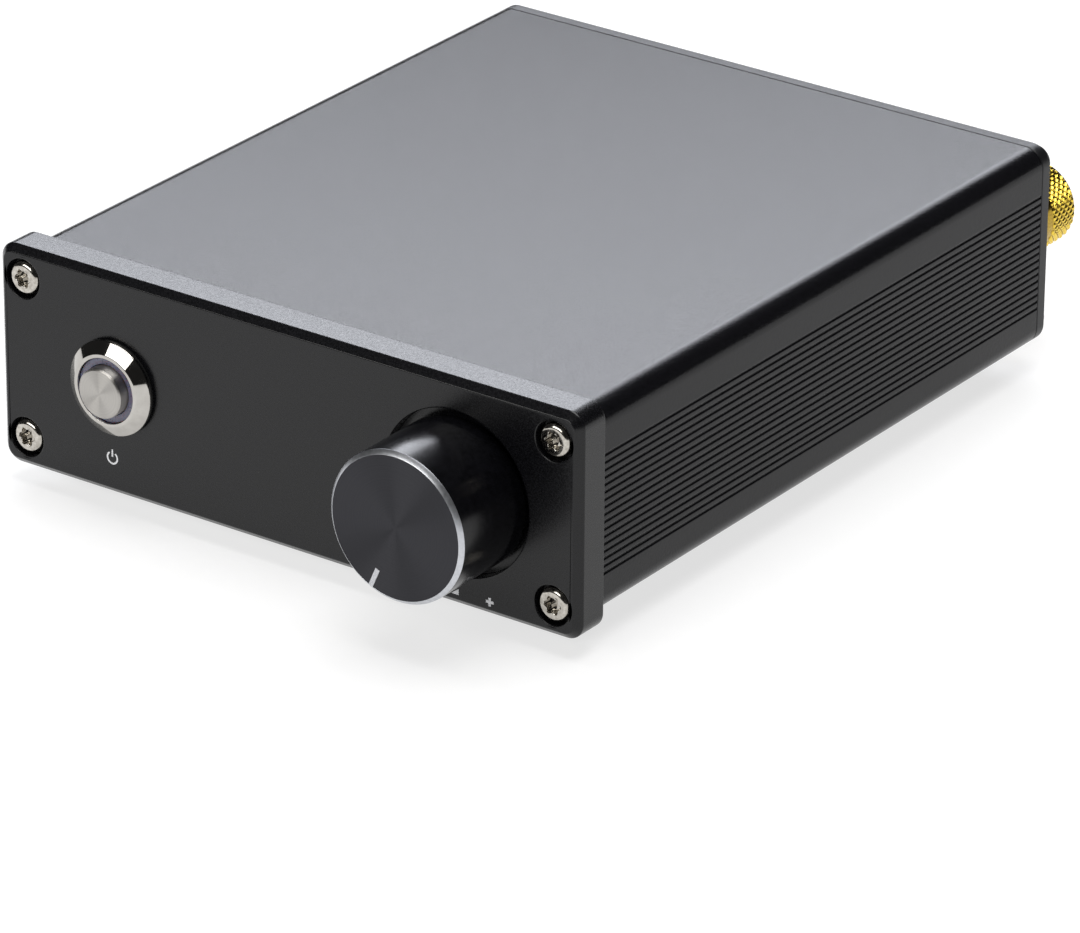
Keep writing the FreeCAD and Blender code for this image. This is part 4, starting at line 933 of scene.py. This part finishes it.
@dataclass
class PowerSwitch:
    """Metal push button: bevelled chrome head, light ring and turned cap."""

    head_r: float = 6.9
    rim_y: float = -58.8
    rim: float = 0.4
    lip_y: float = -60.3
    lip_r: float = 5.25
    mouth_r: float = 4.75
    barrel_r: float = 6.0
    back_y: float = -42.3
    base_y: float = -50.6
    socket_r: float = 5.3
    ring_front: float = -59.85
    ring_back: float = -56.85
    button_r: float = 3.6
    button_front: float = -61.6
    button_back: float = -54.1
    crown: float = 0.04
    cap_bevel: float = 0.25
    cap_gap: float = 0.1
    ring_gap: float = 0.05

    def build(self) -> None:
        """Turn the three shown parts and dress the ones behind the panel."""
        spot = [(AT.switch_x, AT.middle_z)]
        bore, ring_r = self.button_r + self.cap_gap, self.mouth_r - self.ring_gap
        head = eased([
            (self.mouth_r, self.lip_y, 0.06), (self.lip_r, self.lip_y, 0.12),
            (self.head_r, self.rim_y - self.rim, 0.12), (self.head_r, self.rim_y, 0.05),
            (self.barrel_r, self.rim_y, 0.05), (self.barrel_r, self.back_y, 0.15),
            (self.socket_r, self.back_y, 0.1), (self.socket_r, self.base_y, 0.1), (bore, self.base_y, 0.05),
            (bore, self.ring_back, 0.05), (self.mouth_r, self.ring_back, 0.05)], 6, closed=True)
        shell = Shell.turned(head, spot, NEAR)
        Piece("chrome_switch_head", CHROME, "case", "switch_chrome", ("switch_body",)).make(shell)
        ring = eased([
            (ring_r, self.ring_front, 0.08), (ring_r, self.ring_back, 0.08), (bore, self.ring_back, 0.08),
            (bore, self.ring_front, 0.08)], 4, closed=True)
        shell = Shell.turned(ring, spot, MIDDLE)
        Piece("frosted_light_ring", RING_CLEAR, "case", "light_ring", ("switch_light_ring",)).make(shell)
        cap = eased([
            (0, self.button_front, 0),
            (self.button_r - self.cap_bevel, self.button_front + self.crown, 0.06),
            (self.button_r, self.button_front + self.cap_bevel, 0.06),
            (self.button_r, self.button_back, 0.1), (0, self.button_back, 0)], 6)
        shell = Shell.turned(cap, spot, MIDDLE)
        Piece("turned_button_cap", BUTTON_STEEL, "button", "button_steel", ("power_button_cap",)).make(shell)
        dress({"switch_seal": RUBBER, "switch_nut": NICKEL, "switch_base": BLACK_PLASTIC,
               "switch_terminals": TIN, "switch_wires": WIRE_RED, "wire_plug": WHITE_PLASTIC,
               "board_header": WHITE_PLASTIC})


@dataclass
class RearSockets:
    """Four phono sockets and the supply inlet."""

    sleeve_r: float = 4.15
    inner_r: float = 3.3
    start_y: float = 51.7
    end_y: float = 67.2
    collar_r: float = 5.2
    collar: float = 1.0
    bevel: float = 0.35
    bore_r: float = 1.62
    setback: float = 0.3
    insert_gap: float = 0.05

    def build(self) -> None:
        """Turn the sleeves and the two colours of insert, and dress the moulded parts."""
        collar_y = AT.back_y + self.collar
        sleeve = eased([
            (self.inner_r, self.start_y, 0.05), (self.sleeve_r, self.start_y, 0.1),
            (self.sleeve_r, AT.back_y, 0.03), (self.collar_r, AT.back_y, 0.08),
            (self.collar_r, collar_y, 0.15), (self.sleeve_r, collar_y, 0.1),
            (self.sleeve_r, self.end_y - self.bevel, 0.1), (self.sleeve_r - self.bevel, self.end_y, 0.1),
            (self.inner_r, self.end_y, 0.08)], 5, closed=True)
        insert_r, insert_y = self.inner_r - self.insert_gap, self.end_y - self.setback
        insert = eased([
            (insert_r, self.start_y, 0.1), (insert_r, insert_y, 0.12), (self.bore_r, insert_y, 0.3),
            (self.bore_r, self.start_y, 0.1)], 5, closed=True)
        sets = (("gold_phono_sleeves", GOLD, "gold_plate", "phono_sleeves", sleeve, AT.phono_x),
                ("white_phono_inserts", WHITE_PLASTIC, "white_plastic", "phono_inserts_white", insert,
                 AT.phono_x[0::2]),
                ("red_phono_inserts", RED_PLASTIC, "red_plastic", "phono_inserts_red", insert,
                 AT.phono_x[1::2]))
        for name, finish, slot, node, profile, places in sets:
            shell = Shell.turned(profile, [(x, AT.middle_z) for x in places])
            Piece(name, finish, "case", slot, (node,)).make(shell)
        dress({"phono_blocks": BLACK_PLASTIC, "phono_contacts": GOLD, "supply_socket": BLACK_PLASTIC,
               "supply_pin": NICKEL})


@dataclass
class EarthTerminal:
    """Gold terminal: stud, clamp washer and a thumb nut with a diamond knurl."""

    washer_r: float = 5.6
    washer_y: Spot = (59.2, 60.8)
    bore_r: float = 2.05
    nut_end: float = 71.5
    shoulder_r: float = 6.1
    head_y: float = 65.0
    nut_r: float = 6.35
    rim_bevel: float = 0.6
    crown: float = 1.2
    knurl_depth: float = 0.24
    knurl_count: int = 34
    knurl_pitch: float = 1.25
    knurl_rows: int = 52
    columns_each: int = 10
    knurl_slope: float = 1.7
    knurl_fade: float = 0.25
    knurl_gap: float = 0.05
    shoulder_bevel: float = 0.3

    def knurl(self) -> Array:
        """Rows of the knurled head.

        With a the angle and s the distance along the head, two rising waves u = count a / 2 pi + s / pitch
        and v = count a / 2 pi - s / pitch make crossed grooves: a place stands out by the lesser of the
        two waves' triangle heights, so that points are left between the grooves.
        """
        y0, y1 = self.head_y + self.knurl_fade, self.nut_end - self.rim_bevel
        y = np.linspace(y0, y1, self.knurl_rows)[:, None]
        angle = np.linspace(0, 2 * math.pi, self.columns_each * self.knurl_count, endpoint=False)[None, :]
        turn = self.knurl_count * angle / (2 * math.pi)
        heights = [np.abs(2 * ((turn + sign * y / self.knurl_pitch) % 1) - 1) for sign in (-1, 1)]
        height = np.minimum(np.minimum(*heights) * self.knurl_slope, 1)
        edge = np.minimum(1, np.minimum(y - y[0], y[-1] - y) / self.knurl_fade)
        radius = self.nut_r - self.knurl_depth * (1 - height * edge) * np.ones_like(angle)
        return np.stack([AT.earth_x + radius * np.cos(angle), y + 0 * angle,
                         AT.middle_z + radius * np.sin(angle)], -1)

    def nut(self) -> None:
        """Make the nut: smooth shoulder, knurled head, crowned end and blind bore."""
        columns = self.columns_each * self.knurl_count
        spot = (AT.earth_x, AT.middle_z)
        start, floor = self.washer_y[1], self.nut_end - self.crown
        valley = self.nut_r - self.knurl_depth
        front = eased([
            (0, floor, 0), (self.bore_r, floor, 0.1), (self.bore_r, start, 0.15),
            (self.shoulder_r - self.shoulder_bevel, start, 0.1),
            (self.shoulder_r, start + self.shoulder_bevel, 0.1), (self.shoulder_r, self.head_y, 0.05),
            (valley, self.head_y + self.knurl_fade - self.knurl_gap, 0)], 5)
        end = eased([
            (valley, self.nut_end - self.rim_bevel + self.knurl_gap, 0),
            (self.nut_r - self.rim_bevel, self.nut_end, 0.15), (0, self.nut_end, 0)], 5)
        shell = Shell()
        shell.add_solid(np.concatenate([around(front, spot, columns, Axis.DEPTH), self.knurl(),
                                        around(end, spot, columns, Axis.DEPTH)]))
        # The knurl's dark grooves and bright points are painted shade and a painted highlight in its finish.
        piece = Piece("knurled_thumb_nut", GOLD_KNURL_PAINTED_SHADE, "earth_nut", "gold_plate", ("earth_thumb_nut",))
        piece.make(shell, crease=25)

    def build(self) -> None:
        """Make the nut and its washer, and dress the stud and what holds it."""
        self.nut()
        y0, y1 = self.washer_y
        ring = eased([
            (self.bore_r, y0, 0.08), (self.washer_r, y0, 0.15), (self.washer_r, y1, 0.15),
            (self.bore_r, y1, 0.08)], 5, closed=True)
        shell = Shell.turned(ring, [(AT.earth_x, AT.middle_z)], MIDDLE)
        washer = Piece("clamp_washer", GOLD, "earth_washer", "gold_plate", ("earth_clamp_washer",))
        washer.make(shell)
        dress({"earth_stud": GOLD, "earth_tag": TIN, "earth_back_nut": NICKEL})


@dataclass
class CircuitBoard:
    """The board and what stands on it, all closed in by the case."""

    def build(self) -> None:
        """Dress the solids."""
        dress({"main_board": LAMINATE, "supply_capacitors": CAN_SLEEVE, "signal_capacitors": CAN_SLEEVE,
               "film_capacitors": FILM_RED, "chip_sockets": BLACK_PLASTIC, "amplifier_chips": CHIP_PLASTIC,
               "resistors": LACQUER, "regulator": CHIP_PLASTIC, "heat_sink": SINK_METAL})


@dataclass
class Studio:
    """White lit table, soft boxes and the camera at the photograph's angle."""

    focal_mm: float = 236.19
    azimuth: float = 35.406
    elevation: float = 25.075
    roll: float = 0.413
    distance: float = 998.56
    target: Triple = (-0.543, 1.7, -7.676)
    floor_half: float = 6.0
    floor_glow: float = 0.72
    sky_glow: float = 0.02
    sensor_mm: float = 36.0
    far_m: float = 50.0
    aim: Triple = (0.0, 0.0, 0.02)

    def camera(self) -> None:
        """Place the camera on a ball about the target, by azimuth from the front and elevation."""
        turns = ((self.azimuth, "Z"), (90 - self.elevation, "X"), (self.roll, "Z"))
        azimuth, tilt, roll = (Matrix.Rotation(math.radians(angle), 3, axis) for angle, axis in turns)
        turn = azimuth @ tilt @ roll
        lens = bpy.data.cameras.new("photo_lens")
        lens.lens = self.focal_mm
        lens.sensor_width = self.sensor_mm
        lens.clip_end = self.far_m
        camera = bpy.data.objects.new("photo_camera", lens)
        place = Matrix.Translation((Vector(self.target) + turn.col[2] * self.distance) * MM)
        camera.matrix_world = place @ turn.to_4x4()
        bpy.context.scene.collection.objects.link(camera)
        bpy.context.scene.camera = camera

    def soft_box(self, name: str, place: Triple, size: Spot, power: float, tint: str) -> None:
        """Hang one rectangular light, in metres and watts, that faces the aim."""
        light = bpy.data.lights.new(name, "AREA")
        light.shape = "RECTANGLE"
        light.size, light.size_y = size
        light.energy = power
        light.color = linear(tint)[:3]
        lamp = bpy.data.objects.new(name, light)
        aimed = (Vector(place) - Vector(self.aim)).to_track_quat("Z", "Y").to_matrix().to_4x4()
        lamp.matrix_world = Matrix.Translation(place) @ aimed
        bpy.context.scene.collection.objects.link(lamp)

    def build(self) -> None:
        """Make the floor, the lights, the world and the camera."""
        half = self.floor_half
        mesh = bpy.data.meshes.new("studio_floor")
        corners = np.array([(-half, -half, 0), (half, -half, 0), (half, half, 0), (-half, half, 0)])
        mesh.from_pydata(corners, [], [(0, 1, 2, 3)])
        table = Finish("lit_white_acrylic", "#939393", "#979797", 0.8, grain_mm=2.0, relief_mm=0.0, sockets=(
            ("Emission Color", linear("#ffffff")), ("Emission Strength", self.floor_glow)))
        mesh.materials.append(table.material())
        floor = bpy.data.objects.new("studio_floor", mesh)
        bpy.context.scene.collection.objects.link(floor)
        self.soft_box("overhead_box", (0.05, 0.1, 1.2), (1.0, 0.9), 16.0, "#ffffff")
        self.soft_box("rear_box", (-0.81, 1.08, 0.80), (1.5, 0.43), 16.0, "#f4f7ff")
        self.soft_box("front_box", (-0.37, -1.30, 0.78), (1.1, 0.5), 9.0, "#fffefb")
        world = bpy.data.worlds.new("studio_world")
        world.use_nodes = True
        ground = world.node_tree.nodes["Background"]
        ground.inputs["Color"].default_value = linear("#ffffff")
        ground.inputs["Strength"].default_value = self.sky_glow
        bpy.context.scene.world = world
        bpy.context.scene.view_settings.view_transform = "Standard"
        self.camera()


def plain(box: Sequence[Vector]) -> list[list[float]]:
    """A box's two corners as plain lists."""
    return [list(corner) for corner in box]


def main() -> None:
    """Build every sub-assembly in order."""
    logging.basicConfig(level=logging.INFO, format="%(name)s: %(message)s")
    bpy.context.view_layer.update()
    Studio().build()
    for part in (FrontPanel(), PrintedMarks(), Sleeve(), RearPanel(), PanelScrews(), Feet(), VolumeControl(),
                 PowerSwitch(), RearSockets(), EarthTerminal(), CircuitBoard()):
        log.info("building %s", type(part).__name__)
        part.build()


if __name__ == "__main__":
    main()
